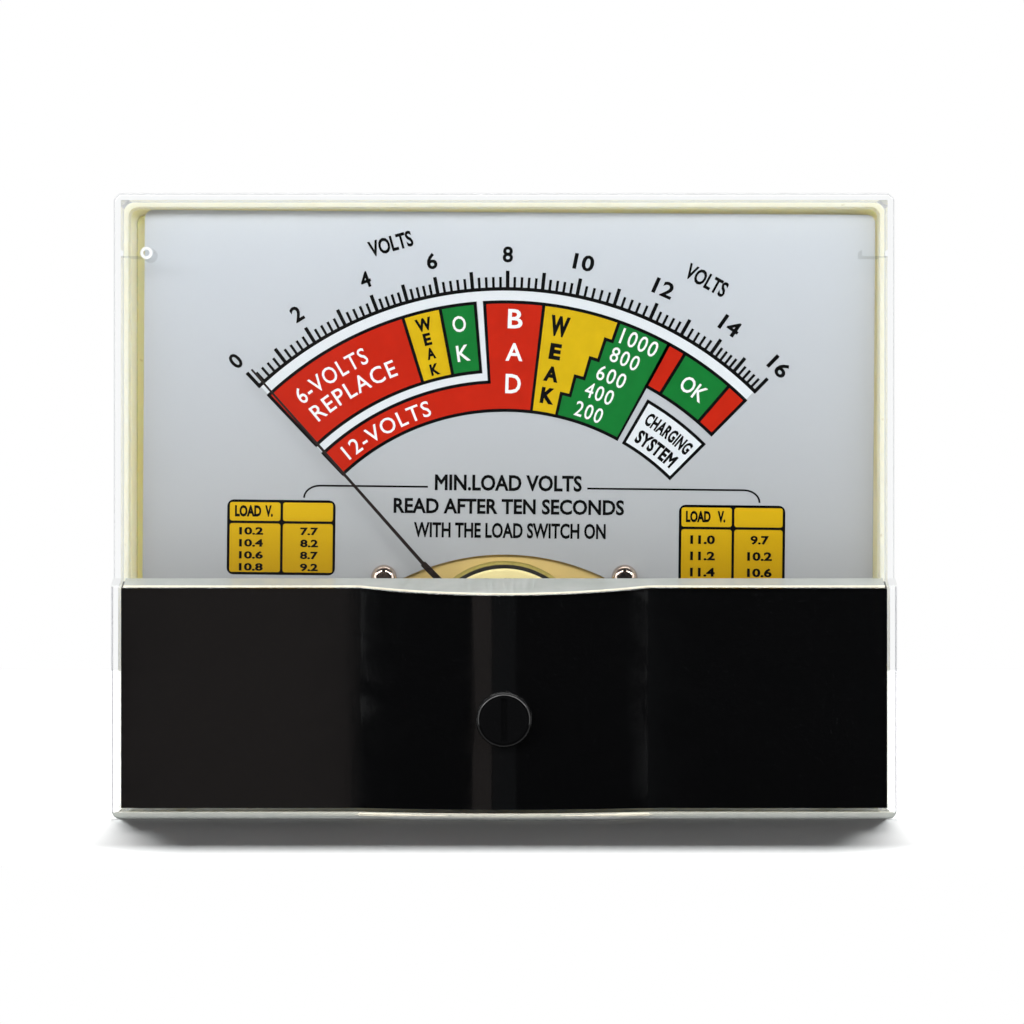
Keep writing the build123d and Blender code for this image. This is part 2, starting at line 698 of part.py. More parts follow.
# Bearing screws: threaded, slotted outside, with a pocket for the jewel inside.
with BuildPart() as front_jewel_screw:
    add(rod(JEWEL_SCREW_RADIUS, FRONT_SCREW_BACK, FRONT_SCREW_FRONT, PIVOT))
    add(
        rod(JEWEL_RADIUS, FRONT_SCREW_BACK, FRONT_SCREW_BACK + JEWEL_LENGTH, PIVOT),
        mode=Mode.SUBTRACT,
    )
    add(
        block(2 * JEWEL_SCREW_RADIUS, SCREW_SLOT, FRONT_SCREW_FRONT - SCREW_SLOT, FRONT_SCREW_FRONT, PIVOT),
        mode=Mode.SUBTRACT,
    )

with BuildPart() as rear_jewel_screw:
    add(rod(JEWEL_SCREW_RADIUS, REAR_SCREW_BACK, REAR_SCREW_FRONT, PIVOT))
    add(
        rod(JEWEL_RADIUS, REAR_SCREW_FRONT - JEWEL_LENGTH, REAR_SCREW_FRONT, PIVOT),
        mode=Mode.SUBTRACT,
    )
    add(
        block(2 * JEWEL_SCREW_RADIUS, SCREW_SLOT, REAR_SCREW_BACK, REAR_SCREW_BACK + SCREW_SLOT, PIVOT),
        mode=Mode.SUBTRACT,
    )

# Cup jewels that the staffs' pointed ends turn in.
with BuildPart() as jewels:
    add(rod(JEWEL_RADIUS, FRONT_SCREW_BACK, FRONT_SCREW_BACK + JEWEL_LENGTH, PIVOT))
    add(
        cone(CUP_MOUTH, CUP_END, FRONT_SCREW_BACK, FRONT_SCREW_BACK + CUP_DEPTH, PIVOT),
        mode=Mode.SUBTRACT,
    )
    add(rod(JEWEL_RADIUS, REAR_SCREW_FRONT - JEWEL_LENGTH, REAR_SCREW_FRONT, PIVOT))
    add(
        cone(CUP_MOUTH, CUP_END, REAR_SCREW_FRONT, REAR_SCREW_FRONT - CUP_DEPTH, PIVOT),
        mode=Mode.SUBTRACT,
    )

# Lock nuts of the two bearing screws; the front one also clamps the lead's lug.
with BuildPart() as jewel_nuts:
    front_nut_back = BRIDGE_BOSS_FRONT + FRONT_LUG_THICKNESS
    add(hexagon(NUT_ACROSS_FLATS, front_nut_back, front_nut_back + NUT_HEIGHT, PIVOT))
    add(hexagon(NUT_ACROSS_FLATS, PLATE_BACK - NUT_HEIGHT, PLATE_BACK, PIVOT))
    add(
        rod(JEWEL_SCREW_RADIUS + THREAD_GAP, REAR_SCREW_BACK, FRONT_SCREW_FRONT, PIVOT),
        mode=Mode.SUBTRACT,
    )

# Pins beside the ring that stop the pointer, with rubber sleeves.
with BuildPart() as stop_pins:
    add(rod(STOP_RADIUS, FRAME_FRONT, STOP_FRONT, *STOPS))

with BuildPart() as stop_sleeves:
    add(ring(STOP_SLEEVE_RADIUS, STOP_RADIUS + THREAD_GAP, STOP_SLEEVE_BACK, STOP_FRONT, *STOPS))


# ---------------------------------------------------------------- zero adjustment

# Zero lever: turns on the bridge's boss, holds the front spring's outer end, and ends in a fork.
with BuildPart() as zero_lever:
    with BuildSketch(facing(LEVER_BACK)):
        with Locations(PIVOT):
            Circle(LEVER_RING)
        add(strip(PIVOT, (0, PIVOT_Z - FORK_START), LEVER_ARM, LEVER_ARM))
        with Locations((0, PIVOT_Z - (FORK_START + FORK_END) / 2)):
            Rectangle(FORK_WIDTH, FORK_END - FORK_START + 1)
        with Locations((0, PIVOT_Z - (FORK_START + FORK_END + 1) / 2)):
            Rectangle(FORK_SLOT, FORK_END - FORK_START + 1, mode=Mode.SUBTRACT)
        tab_end = around_pivot(SPRING_OUTER + SPRING_POST_RADIUS, SPRING_POST_ANGLE)
        add(strip(PIVOT, tab_end, TAB_WIDTH, TAB_WIDTH))
        with Locations(PIVOT):
            Circle(LEVER_BORE, mode=Mode.SUBTRACT)
    extrude(amount=LEVER_FRONT - LEVER_BACK)
    add(rod(SPRING_POST_RADIUS, FRONT_SPRING_BACK, LEVER_BACK, SPRING_POST))

# Zero adjuster: slotted head outside, grooved shaft, eccentric pin.
with BuildPart() as zero_adjuster:
    add(rod(ADJUSTER_RADIUS, ADJUSTER_BACK, ADJUSTER_FRONT, ADJUSTER))
    fillet(zero_adjuster.edges().group_by(Axis.Y)[0], ADJUSTER_RIM)
    add(
        block(
            ADJUSTER_SLOT_WIDTH,
            ADJUSTER_SLOT_LENGTH,
            ADJUSTER_FRONT - ADJUSTER_SLOT_DEPTH,
            ADJUSTER_FRONT,
            ADJUSTER,
        ),
        mode=Mode.SUBTRACT,
    )
    add(rod(ADJUSTER_SHAFT, ADJUSTER_SHAFT_BACK, ADJUSTER_BACK, ADJUSTER))
    add(
        ring(
            ADJUSTER_SHAFT,
            GROOVE_RADIUS,
            CLIP_BACK - GROOVE_PLAY,
            CLIP_FRONT + GROOVE_PLAY,
            ADJUSTER,
        ),
        mode=Mode.SUBTRACT,
    )
    add(rod(PIN_RADIUS, PIN_BACK, ADJUSTER_SHAFT_BACK, ADJUSTER_PIN))

# Spring clip that keeps the adjuster in the cover.
with BuildPart() as adjuster_clip:
    add(ring(CLIP_RADIUS, CLIP_BORE, CLIP_BACK, CLIP_FRONT, ADJUSTER))
    clip_mouth = (0, ADJUSTER_Z - CLIP_RADIUS)
    add(block(CLIP_GAP, 2 * CLIP_RADIUS, CLIP_BACK, CLIP_FRONT, clip_mouth), mode=Mode.SUBTRACT)


# ---------------------------------------------------------------- moving system

# Pointer: hub, arm with a slightly bent needle, tail and balance arms.
with BuildPart() as pointer:
    add(rod(HUB_RADIUS, HUB_BACK, HUB_FRONT, PIVOT))
    arm_end = around_pivot(ARM_LENGTH, ARM_ANGLE)
    needle_end = around_pivot(NEEDLE_REACH, REST_ANGLE)
    tail_end = around_pivot(-TAIL_LENGTH, ARM_ANGLE)
    with BuildSketch(facing(POINTER_BACK)):
        add(strip(PIVOT, arm_end, ARM_WIDTH, ARM_WIDTH))
        add(strip(arm_end, needle_end, NEEDLE_ROOT, NEEDLE_TIP))
        with Locations(arm_end):
            Circle(NEEDLE_ROOT / 2)
        add(strip(PIVOT, tail_end, 2 * BALANCE_RADIUS, 2 * BALANCE_RADIUS))
    extrude(amount=POINTER_FRONT - POINTER_BACK)
    balance_y = -(POINTER_BACK + POINTER_FRONT) / 2
    for angle in (ARM_ANGLE - 90, ARM_ANGLE + 90):
        x, z = around_pivot(BALANCE_LENGTH, angle)
        add(bar_between(Vector(0, balance_y, PIVOT_Z), Vector(x, balance_y, z), BALANCE_RADIUS))
    add(rod(STAFF_RADIUS + HUB_GAP, HUB_BACK, HUB_FRONT, PIVOT), mode=Mode.SUBTRACT)

# Weights that balance the moving system, threaded on the arms and the tail.
with BuildPart() as balance_weights:
    for turn, (radius, length) in ((-90, ARM_WEIGHT), (90, ARM_WEIGHT), (180, TAIL_WEIGHT)):
        x, z = around_pivot(WEIGHT_PLACE, ARM_ANGLE + turn)
        outer_x, outer_z = around_pivot(WEIGHT_PLACE + length, ARM_ANGLE + turn)
        inner_end = Vector(x, balance_y, z)
        outer_end = Vector(outer_x, balance_y, outer_z)
        add(bar_between(inner_end, outer_end, radius))
        add(bar_between(inner_end, outer_end, BALANCE_RADIUS + WEIGHT_GAP), mode=Mode.SUBTRACT)

# The coil's plane holds the movement axis and lies square to the pointer.
coil_normal = Vector(sin(radians(REST_ANGLE)), 0, cos(radians(REST_ANGLE)))
coil_across = Vector(cos(radians(REST_ANGLE)), 0, -sin(radians(REST_ANGLE)))
coil_plane = Plane(origin=(0, 0, PIVOT_Z), x_dir=coil_across, z_dir=coil_normal)
coil_middle = (0, -(COIL_BACK + COIL_FRONT) / 2)
former_inside = (2 * COIL_HALF_INNER, COIL_FRONT - COIL_BACK)
former_outside = (former_inside[0] + 2 * FORMER_THICKNESS, former_inside[1] + 2 * FORMER_THICKNESS)
winding_outside = (
    former_outside[0] + 2 * WINDING_THICKNESS,
    former_outside[1] + 2 * WINDING_THICKNESS,
)

# Aluminium former: a closed frame round the core, which also damps the pointer.
with BuildPart() as coil_former:
    with BuildSketch(coil_plane):
        with Locations(coil_middle):
            Rectangle(*former_outside)
            Rectangle(*former_inside, mode=Mode.SUBTRACT)
    extrude(amount=FORMER_WIDTH / 2, both=True)

# Copper winding on the former.
with BuildPart() as coil_winding:
    with BuildSketch(coil_plane):
        with Locations(coil_middle):
            RectangleRounded(*winding_outside, WINDING_CORNER)
            Rectangle(*former_outside, mode=Mode.SUBTRACT)
    extrude(amount=WINDING_WIDTH / 2, both=True)

winding_reach = FORMER_THICKNESS + WINDING_THICKNESS
coil_front_face = COIL_FRONT + winding_reach
coil_back_face = COIL_BACK - winding_reach

# Front and rear half-axles, glued to the coil.
with BuildPart() as front_staff:
    front_shoulder = FRONT_SCREW_BACK + SHOULDER_DEPTH
    add(rod(STAFF_FLANGE, coil_front_face, coil_front_face + FLANGE_THICKNESS, PIVOT))
    add(rod(STAFF_RADIUS, coil_front_face, front_shoulder, PIVOT))
    collet_back = FRONT_SPRING_BACK + (SPRING_HEIGHT - COLLET_LENGTH) / 2
    add(rod(COLLET_RADIUS, collet_back, collet_back + COLLET_LENGTH, PIVOT))
    add(cone(STAFF_RADIUS, PIVOT_END, front_shoulder, front_shoulder + PIVOT_LENGTH, PIVOT))

with BuildPart() as rear_staff:
    rear_shoulder = REAR_SCREW_FRONT - SHOULDER_DEPTH
    add(rod(STAFF_FLANGE, coil_back_face - FLANGE_THICKNESS, coil_back_face, PIVOT))
    add(rod(STAFF_RADIUS, rear_shoulder, coil_back_face, PIVOT))
    collet_back = REAR_SPRING_BACK + (SPRING_HEIGHT - COLLET_LENGTH) / 2
    add(rod(COLLET_RADIUS, collet_back, collet_back + COLLET_LENGTH, PIVOT))
    add(cone(STAFF_RADIUS, PIVOT_END, rear_shoulder, rear_shoulder - PIVOT_LENGTH, PIVOT))

# Hairsprings: they return the pointer and carry the current to the coil.
with BuildPart() as front_hairspring:
    add(hairspring(FRONT_SPRING_BACK))

with BuildPart() as rear_hairspring:
    add(hairspring(REAR_SPRING_BACK))


# ---------------------------------------------------------------- terminals and wiring

# Terminal studs: hexagonal head inside the can, thread through its end wall. Up to the nut's outer face
# the thread is drawn at its pitch radius, where nut and stud meet.
washer_back = -CAN_DEPTH - TERMINAL_WASHER_THICKNESS
nut_back = washer_back - TERMINAL_NUT_HEIGHT
with BuildPart() as terminal_studs:
    head_back = CAN_INSIDE + LUG_THICKNESS
    add(hexagon(TERMINAL_AF, head_back, head_back + TERMINAL_HEAD_HEIGHT, *TERMINALS))
    add(rod(TERMINAL_PITCH_RADIUS, nut_back, head_back, *TERMINALS))
    add(rod(TERMINAL_RADIUS, TERMINAL_END, nut_back, *TERMINALS))

with BuildPart() as terminal_washers:
    add(ring(TERMINAL_WASHER, TERMINAL_HOLE, washer_back, -CAN_DEPTH, *TERMINALS))

with BuildPart() as terminal_nuts:
    add(hexagon(TERMINAL_AF, nut_back, washer_back, *TERMINALS))
    add(rod(TERMINAL_PITCH_RADIUS + THREAD_GAP, nut_back, washer_back, *TERMINALS), mode=Mode.SUBTRACT)

# Solder lugs under the studs' heads, one tail up and one down.
with BuildPart() as terminal_lugs:
    add(rod(LUG_RADIUS, CAN_INSIDE, head_back, *TERMINALS))
    for x, side in ((-TERMINAL_X, -1), (TERMINAL_X, 1)):
        tail_centre = (x, TERMINAL_Z + side * LUG_TAIL / 2)
        add(block(LUG_TAIL_WIDTH, LUG_TAIL, CAN_INSIDE, head_back, tail_centre))
    add(rod(TERMINAL_HOLE, CAN_INSIDE, head_back, *TERMINALS), mode=Mode.SUBTRACT)

# Lug under the front lock nut, for the negative lead.
with BuildPart() as front_lug:
    lug_end = around_pivot(FRONT_LUG_REACH, FRONT_LUG_ANGLE)
    with BuildSketch(facing(BRIDGE_BOSS_FRONT)):
        with Locations(PIVOT):
            Circle(BRIDGE_BOSS_RADIUS)
        add(strip(PIVOT, lug_end, FRONT_LUG_WIDTH, FRONT_LUG_WIDTH))
        with Locations(lug_end):
            Circle(FRONT_LUG_WIDTH / 2)
        with Locations(PIVOT):
            Circle(JEWEL_SCREW_RADIUS + THREAD_GAP, mode=Mode.SUBTRACT)
    extrude(amount=FRONT_LUG_THICKNESS)

# Post in the carrier's plate that holds the rear spring's outer end, for the positive lead.
with BuildPart() as rear_spring_lug:
    add(rod(SPRING_POST_RADIUS, REAR_LUG_BACK, REAR_SPRING_BACK + SPRING_HEIGHT, SPRING_POST))
    add(rod(REAR_LUG_FLANGE, PLATE_BACK - REAR_LUG_FLANGE_THICKNESS, PLATE_BACK, SPRING_POST))

# Series resistor: a bar with a waist between two end caps.
with BuildPart() as series_resistor:
    half = Vector(RESISTOR_LENGTH / 2, 0, 0)
    cap = Vector(RESISTOR_CAP, 0, 0)
    add(bar_between(RESISTOR_AT - half, RESISTOR_AT + half, RESISTOR_WAIST))
    add(bar_between(RESISTOR_AT - half, RESISTOR_AT - half + cap, RESISTOR_RADIUS))
    add(bar_between(RESISTOR_AT + half - cap, RESISTOR_AT + half, RESISTOR_RADIUS))

# Bare wires of the resistor: one to the positive terminal's lug, one to the positive lead.
lug_face_y = -head_back
positive_solder = Vector(TERMINAL_X, lug_face_y - LEAD_RADIUS, TERMINAL_Z + LUG_TAIL - 1)
lead_joint = Vector(-6, 19, 4)
with BuildPart() as resistor_leads:
    add(
        wire(
            LEAD_RADIUS,
            1.2,
            RESISTOR_AT + half,
            Vector(13, 22, 9),
            Vector(TERMINAL_X, 24, 6),
            positive_solder,
        )
    )
    add(wire(LEAD_RADIUS, 1.2, RESISTOR_AT - half, Vector(-5, 22, 9), lead_joint))

# Insulated leads. The positive one ends behind the rear spring's post, the negative one goes round the
# movement and through the frame to the front lug.
post_x, post_z = SPRING_POST
with BuildPart() as positive_lead:
    add(
        wire(
            WIRE_RADIUS,
            2.0,
            lead_joint,
            Vector(-6, 16, -6),
            Vector(post_x, 16, post_z),
            Vector(post_x, -REAR_LUG_BACK, post_z),
        )
    )

lug_x, lug_z = lug_end
hole_x, hole_z = WIRE_HOLE
with BuildPart() as negative_lead:
    add(
        wire(
            WIRE_RADIUS,
            1.2,
            Vector(lug_x, -BRIDGE_BOSS_FRONT, lug_z),
            Vector(lug_x, -7.5, lug_z),
            Vector(hole_x, -5.5, hole_z),
            Vector(hole_x, 6, hole_z),
            Vector(-TERMINAL_X, 20, TERMINAL_Z - LUG_TAIL + 1),
            Vector(-TERMINAL_X, lug_face_y, TERMINAL_Z - LUG_TAIL + 1),
        )
    )


# ---------------------------------------------------------------- ratio of the zero lever

# The pin stands below the adjuster's axis, so for small turns the lever turns by throw over reach.
lever_reach = PIVOT_Z - ADJUSTER_Z
for turn in (20, 45):
    sideways = PIN_THROW * sin(radians(turn))
    down = lever_reach + PIN_THROW * cos(radians(turn))
    print(f"adjuster {turn} deg, lever {degrees(atan(sideways / down)):.2f} deg")


# ---------------------------------------------------------------- one file for each piece

pieces = {
    "front_cover": front_cover,
    "lower_mask": lower_mask,
    "base": base,
    "mounting_studs": mounting_studs,
    "dial_plate": dial_plate,
    "dial_screws": dial_screws,
    "movement_frame": movement_frame,
    "frame_screws": frame_screws,
    "yoke_ring": yoke_ring,
    "core_magnet": core_magnet,
    "core_carrier": core_carrier,
    "front_bridge": front_bridge,
    "bridge_screws": bridge_screws,
    "front_jewel_screw": front_jewel_screw,
    "rear_jewel_screw": rear_jewel_screw,
    "jewels": jewels,
    "jewel_nuts": jewel_nuts,
    "stop_pins": stop_pins,
    "stop_sleeves": stop_sleeves,
    "zero_lever": zero_lever,
    "zero_adjuster": zero_adjuster,
    "adjuster_clip": adjuster_clip,
    "pointer": pointer,
    "balance_weights": balance_weights,
    "coil_former": coil_former,
    "coil_winding": coil_winding,
    "front_staff": front_staff,
    "rear_staff": rear_staff,
    "front_hairspring": front_hairspring,
    "rear_hairspring": rear_hairspring,
    "terminal_studs": terminal_studs,
    "terminal_washers": terminal_washers,
    "terminal_nuts": terminal_nuts,
    "terminal_lugs": terminal_lugs,
    "front_lug": front_lug,
    "rear_spring_lug": rear_spring_lug,
    "series_resistor": series_resistor,
    "resistor_leads": resistor_leads,
    "positive_lead": positive_lead,
    "negative_lead": negative_lead,
}
for name, piece in pieces.items():
    piece.part.label = name
    export_step(piece.part, f"parts/{name}.step")
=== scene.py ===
"""Looks of an analogue battery-tester meter: print, threads, windings, materials, light and camera."""

import json
from math import ceil, cos, degrees, pi, radians, sin, sqrt, tan

import bmesh
import bpy
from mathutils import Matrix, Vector


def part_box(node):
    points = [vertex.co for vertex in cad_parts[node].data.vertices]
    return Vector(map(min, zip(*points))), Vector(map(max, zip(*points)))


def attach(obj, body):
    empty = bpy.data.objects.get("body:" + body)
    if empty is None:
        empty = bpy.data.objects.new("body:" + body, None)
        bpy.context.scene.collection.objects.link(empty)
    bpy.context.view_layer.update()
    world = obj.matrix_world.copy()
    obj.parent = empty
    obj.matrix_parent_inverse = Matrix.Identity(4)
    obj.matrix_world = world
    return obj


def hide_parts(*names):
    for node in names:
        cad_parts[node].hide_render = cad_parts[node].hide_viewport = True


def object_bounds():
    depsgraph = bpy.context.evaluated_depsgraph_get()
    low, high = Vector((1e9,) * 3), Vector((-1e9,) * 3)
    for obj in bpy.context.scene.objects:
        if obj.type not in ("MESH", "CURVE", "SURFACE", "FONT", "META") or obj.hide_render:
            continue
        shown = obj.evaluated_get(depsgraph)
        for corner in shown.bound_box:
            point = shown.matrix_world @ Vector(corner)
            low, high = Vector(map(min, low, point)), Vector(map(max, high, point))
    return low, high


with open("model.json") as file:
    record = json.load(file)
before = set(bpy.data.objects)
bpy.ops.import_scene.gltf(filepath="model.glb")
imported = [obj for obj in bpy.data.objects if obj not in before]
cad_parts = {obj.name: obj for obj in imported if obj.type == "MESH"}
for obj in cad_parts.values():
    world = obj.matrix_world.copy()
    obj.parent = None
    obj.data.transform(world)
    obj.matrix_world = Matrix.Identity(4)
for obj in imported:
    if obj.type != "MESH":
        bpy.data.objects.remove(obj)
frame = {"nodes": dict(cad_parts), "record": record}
cad_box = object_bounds()

MM = 0.001

# The places below are in millimetres and degrees. Angles on the dial are clockwise from straight up.

# movement axis and the slightly crooked print
PIVOT_Z = -18.25
PRINT_TURN = 0.63

# the plate's face, how far the ink starts inside it, and how far each kind of ink stands out
PLATE_FACE = -4.5
SINK = 0.004
FILL = 0.02
LINE = 0.03
TICK = 0.035
LETTER = 0.045

# voltage scale
SCALE_VOLTS = (0, 2, 4, 6, 8, 10, 12, 14, 16)
SCALE_ANGLES = (-43.9, -32.6, -21.4, -11.3, -0.1, 11.1, 23.4, 34.6, 43.9)
SCALE_RADIUS = 46.2
TICKS_PER_STEP = 10
BASELINE_WIDTH = 0.46
MAJOR_END = 48.55
MINOR_END = 47.75
MAJOR_WIDTH = 0.46
MINOR_WIDTH = 0.34
NUMERAL_RADIUS = 50.65
NUMERAL_HEIGHT = 2.1
NUMERAL_WIDTH = 1.342
VOLTS_RADIUS = 54.05
VOLTS_ANGLES = (-16.4, 28.3)
VOLTS_WIDTH = 5.8

# coloured zones: their radii, and the angles of their borders from left to right
BAND_INNER = 30.5
GAP_INNER = 34.2
GAP_OUTER = 35.6
BAND_OUTER = 44.5
OUTLINE = 0.42
GAP_CLEARANCE = 0.02
ZONE_START = -43.8
SMALL_WEAK_START = -17.8
SMALL_OK_START = -11.4
SMALL_OK_END = -5.5
BAD_START = -3.9
BAD_END = 6.0
GOOD_END = 28.0
CHARGE_OK_START = 31.1
CHARGE_OK_END = 40.2
ZONE_END = 43.8
STEPS = ((12.1, 33.5), (14.1, 36.1), (16.0, 38.9), (17.6, 41.8), (18.9, 44.5))
CHARGE_INNER = 38.3
BOX_OUTER = 36.7
BOX_START = 29.8
BOX_END = 44.0
SMALL_WEAK = ((42.0, 43.7), (40.1, 41.7), (38.25, 39.75), (36.15, 37.65))
LARGE_WEAK = ((40.6, 43.3), (37.6, 39.7), (34.7, 36.7), (31.8, 33.9))

# leaders from the notes to the tables, and the tables' frames
LEADER_Z = 2.25
LEADER_DROP = 1.6
LEADER_WIDTH = 0.24
LEADER_SHIFT = -0.2
TABLE_LINE = 0.34
TABLE_CORNER = 0.85
CELL_CORNER = 0.3

# clear cover, as distances ahead of the panel and from the middle
WINDOW_FRONT = 12.0
BAND_FRONT = 15.1
BULGE_RISE = 3.0
BULGE_HALF_CHORD = 18.2
LEDGE_Z = -9.35
LEDGE_FALL = 0.3
LEDGE_HALF = 48.2
LEDGE_SPAN = (-13.0, -9.0)
FOOT_Z = -38.9
COVER_HALF_X = 49.8
COVER_HALF_Z = 39.8
COVER_CORNER = 0.7
RIB_POST = (-45.7, 32.2)
# painted highlight ring at the end of the rib's post: its radii and how far ahead it lies
RIB_POST_GLINT_RADII = (0.42, 0.78)
RIB_POST_GLINT_AHEAD = (10.3, 10.7)

# mounting studs: M3, as places in x and z, then the thread and the smooth shank with its head
STUD_X = 42.0
STUD_Z = 32.0
STUD_THREAD_RADIUS = 1.5
STUD_PITCH = 0.5
STUD_END = 14.0
STUD_HEAD = ((1.9, 0.0), (1.9, -1.0), (3.0, -1.0), (3.0, -2.0))

# terminals: M5 studs with hexagonal nuts and inner heads
TERMINAL_X = 16.0
TERMINAL_Z = -6.0
TERMINAL_THREAD_RADIUS = 2.5
TERMINAL_CORE_RADIUS = 2.24
TERMINAL_PITCH = 0.8
TERMINAL_END = 46.0
TERMINAL_HEAD = 3.5
TERMINAL_HEAD_BORE = 0.4
NUT_ACROSS_FLATS = 8.0
NUT_BORE = 2.27

# signs on the can's end wall
CAN_END = 30.0
SIGN_Z = 4.2
SIGN_LENGTH = 2.2
SIGN_WIDTH = 0.6
SIGN_RISE = 0.35
SIGN_TAPER = 0.92

# coil in its own tilted plane, and the radius of its wire
COIL_TILT = -42.34
COIL_HALF_WIDTH = 7.9
COIL_BACK = 7.1
COIL_FRONT = -5.5
COIL_HALF_DEPTH = 1.2
COIL_CORNER = 0.5
COIL_TURNS = 11
WIRE_RADIUS = 0.11

# resistor along x: its middle, and each colour ring's place, radius and ink
RESISTOR_MIDDLE = (4.0, 22.0, 9.0)
RING_HALF_WIDTH = 0.4
RING_DEPTH = 0.1
RINGS = (
    (-4.0, 1.82, "ink_red"),
    (-1.6, 1.42, "ink_black"),
    (0.4, 1.42, "ink_yellow"),
    (4.0, 1.82, "ink_green"),
)


# studio, in metres: tent, floor patch and camera
TENT_BRIGHTNESS = 0.5
OPENING_BRIGHTNESS = 0.008
FLOOR_CORNERS = ((-1.2, -0.08), (1.2, 0.45))
CAMERA_PLACE = (0.001, -0.512, -0.0009)
CAMERA_LENS = 138.0


# -------- mesh helpers


def new_object(name, data):
    made = bpy.data.objects.new(name, data)
    bpy.context.scene.collection.objects.link(made)
    return made


class Shape:
    """Vertices in millimetres and faces of one piece, gathered before the mesh is made."""

    def __init__(self):
        self.verts = []
        self.faces = []

    def add(self, verts, faces):
        start = len(self.verts)
        self.verts.extend(verts)
        self.faces.extend([tuple(start + i for i in face) for face in faces])

    def slab(self, back, front):
        """Closed slab between two outlines with the same number of points."""
        count = len(back)
        sides = [(i, (i + 1) % count, count + (i + 1) % count, count + i) for i in range(count)]
        caps = [tuple(range(count)), tuple(range(2 * count - 1, count - 1, -1))]
        self.add(back + front, sides + caps)

    def prism(self, outline, height):
        """Ink on the dial plate with this outline of (x, z) points."""
        back = [(x, PLATE_FACE + SINK, z) for x, z in outline]
        front = [(x, PLATE_FACE - height, z) for x, z in outline]
        self.slab(back, front)

    def grid(self, rows, closed_ends=True):
        """Skin over rows of points, each row a closed loop, with caps on the first and last row."""
        columns = len(rows[0])
        faces = []
        for row in range(len(rows) - 1):
            this, following = row * columns, (row + 1) * columns
            for c in range(columns):
                n = (c + 1) % columns
                faces.append((this + c, this + n, following + n, following + c))
        if closed_ends:
            last = (len(rows) - 1) * columns
            faces.append(tuple(range(columns - 1, -1, -1)))
            faces.append(tuple(last + c for c in range(columns)))
        self.add([point for row in rows for point in row], faces)

    def piece(self, name, body, slot, material, smooth=False):
        """The finished piece: triangulated caps, outward normals, riding on its body."""
        mesh = bpy.data.meshes.new(name)
        mesh.from_pydata([(x * MM, y * MM, z * MM) for x, y, z in self.verts], [], self.faces)
        solid = bmesh.new()
        solid.from_mesh(mesh)
        large = [face for face in solid.faces if len(face.verts) > 4]
        bmesh.ops.triangulate(solid, faces=large)
        bmesh.ops.recalc_face_normals(solid, faces=solid.faces)
        solid.to_mesh(mesh)
        solid.free()
        if smooth:
            mesh.shade_smooth()
            mesh.set_sharp_from_angle(angle=radians(38))
        mesh.materials.append(material)
        made = new_object(name, mesh)
        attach(made, body)
        return made


def turned(x, z):
    """A point of the print, in the crooked print's own place on the plate."""
    turn = radians(PRINT_TURN)
    up = z - PIVOT_Z
    return (x * cos(turn) + up * sin(turn), PIVOT_Z + up * cos(turn) - x * sin(turn))


def polar(radius, angle):
    """A point of the print by its distance and clockwise angle about the movement axis."""
    return turned(radius * sin(radians(angle)), PIVOT_Z + radius * cos(radians(angle)))


def arc(radius, start, end):
    """Points of the print along an arc, about a degree apart."""
    steps = max(1, ceil(abs(end - start)))
    return [polar(radius, start + (end - start) * i / steps) for i in range(steps + 1)]


def sector(inner, outer, start, end):
    """Outline of a ring's sector."""
    return arc(outer, start, end) + arc(inner, end, start)


def sector_inset(inner, outer, start, end, inset):
    """The same outline, smaller all round by a distance."""
    inner_turn = degrees(inset / inner)
    outer_turn = degrees(inset / outer)
    outside = arc(outer - inset, start + outer_turn, end - outer_turn)
    return outside + arc(inner + inset, end - inner_turn, start + inner_turn)


def stroke(points, width):
    """Outline of a line of constant width along points."""
    left, right = [], []
    for i, (x, z) in enumerate(points):
        before = points[max(i - 1, 0)]
        after = points[min(i + 1, len(points) - 1)]
        along = Vector((after[0] - before[0], after[1] - before[1])).normalized()
        left.append((x - along.y * width / 2, z + along.x * width / 2))
        right.append((x + along.y * width / 2, z - along.x * width / 2))
    return left + right[::-1]


def rounded_corners(low, high, radius):
    """Points round a box with rounded corners, five to a corner."""
    points = []
    (left, bottom), (right, top) = low, high
    for x, y, start in ((right, top, 0), (left, top, 90), (left, bottom, 180), (right, bottom, 270)):
        centre_x = x - radius if x == right else x + radius
        centre_y = y - radius if y == top else y + radius
        for i in range(5):
            angle = radians(start + 22.5 * i)
            points.append((centre_x + radius * cos(angle), centre_y + radius * sin(angle)))
    return points


def rounded_box(low, high, radius):
    """Outline of a box with rounded corners, turned with the print."""
    return [turned(x, z) for x, z in rounded_corners(low, high, radius)]


# -------- lettering


def glyphs(words, width, height, weight, spacing):
    """Vertices and faces of raised words, centred and stretched to a width and height in millimetres."""
    curve = bpy.data.curves.new("words", "FONT")
    curve.body = words
    curve.bevel_depth = weight
    curve.bevel_resolution = 0
    curve.space_character = spacing
    curve.resolution_u = 3
    curve.extrude = 0.5
    holder = new_object("words", curve)
    evaluated = holder.evaluated_get(bpy.context.evaluated_depsgraph_get())
    mesh = bpy.data.meshes.new_from_object(evaluated)
    solid = bmesh.new()
    solid.from_mesh(mesh)
    bmesh.ops.remove_doubles(solid, verts=solid.verts, dist=0.0005)
    solid.verts.index_update()
    points = [vert.co.copy() for vert in solid.verts]
    faces = [tuple(vert.index for vert in face.verts) for face in solid.faces]
    solid.free()
    bpy.data.objects.remove(holder)
    bpy.data.curves.remove(curve)
    bpy.data.meshes.remove(mesh)
    low_x, high_x = min(p.x for p in points), max(p.x for p in points)
    low_y, high_y = min(p.y for p in points), max(p.y for p in points)
    wide = width / (high_x - low_x)
    tall = height / (high_y - low_y)
    middle_x, middle_y = (low_x + high_x) / 2, (low_y + high_y) / 2
    return [((p.x - middle_x) * wide, (p.y - middle_y) * tall, p.z > 0) for p in points], faces


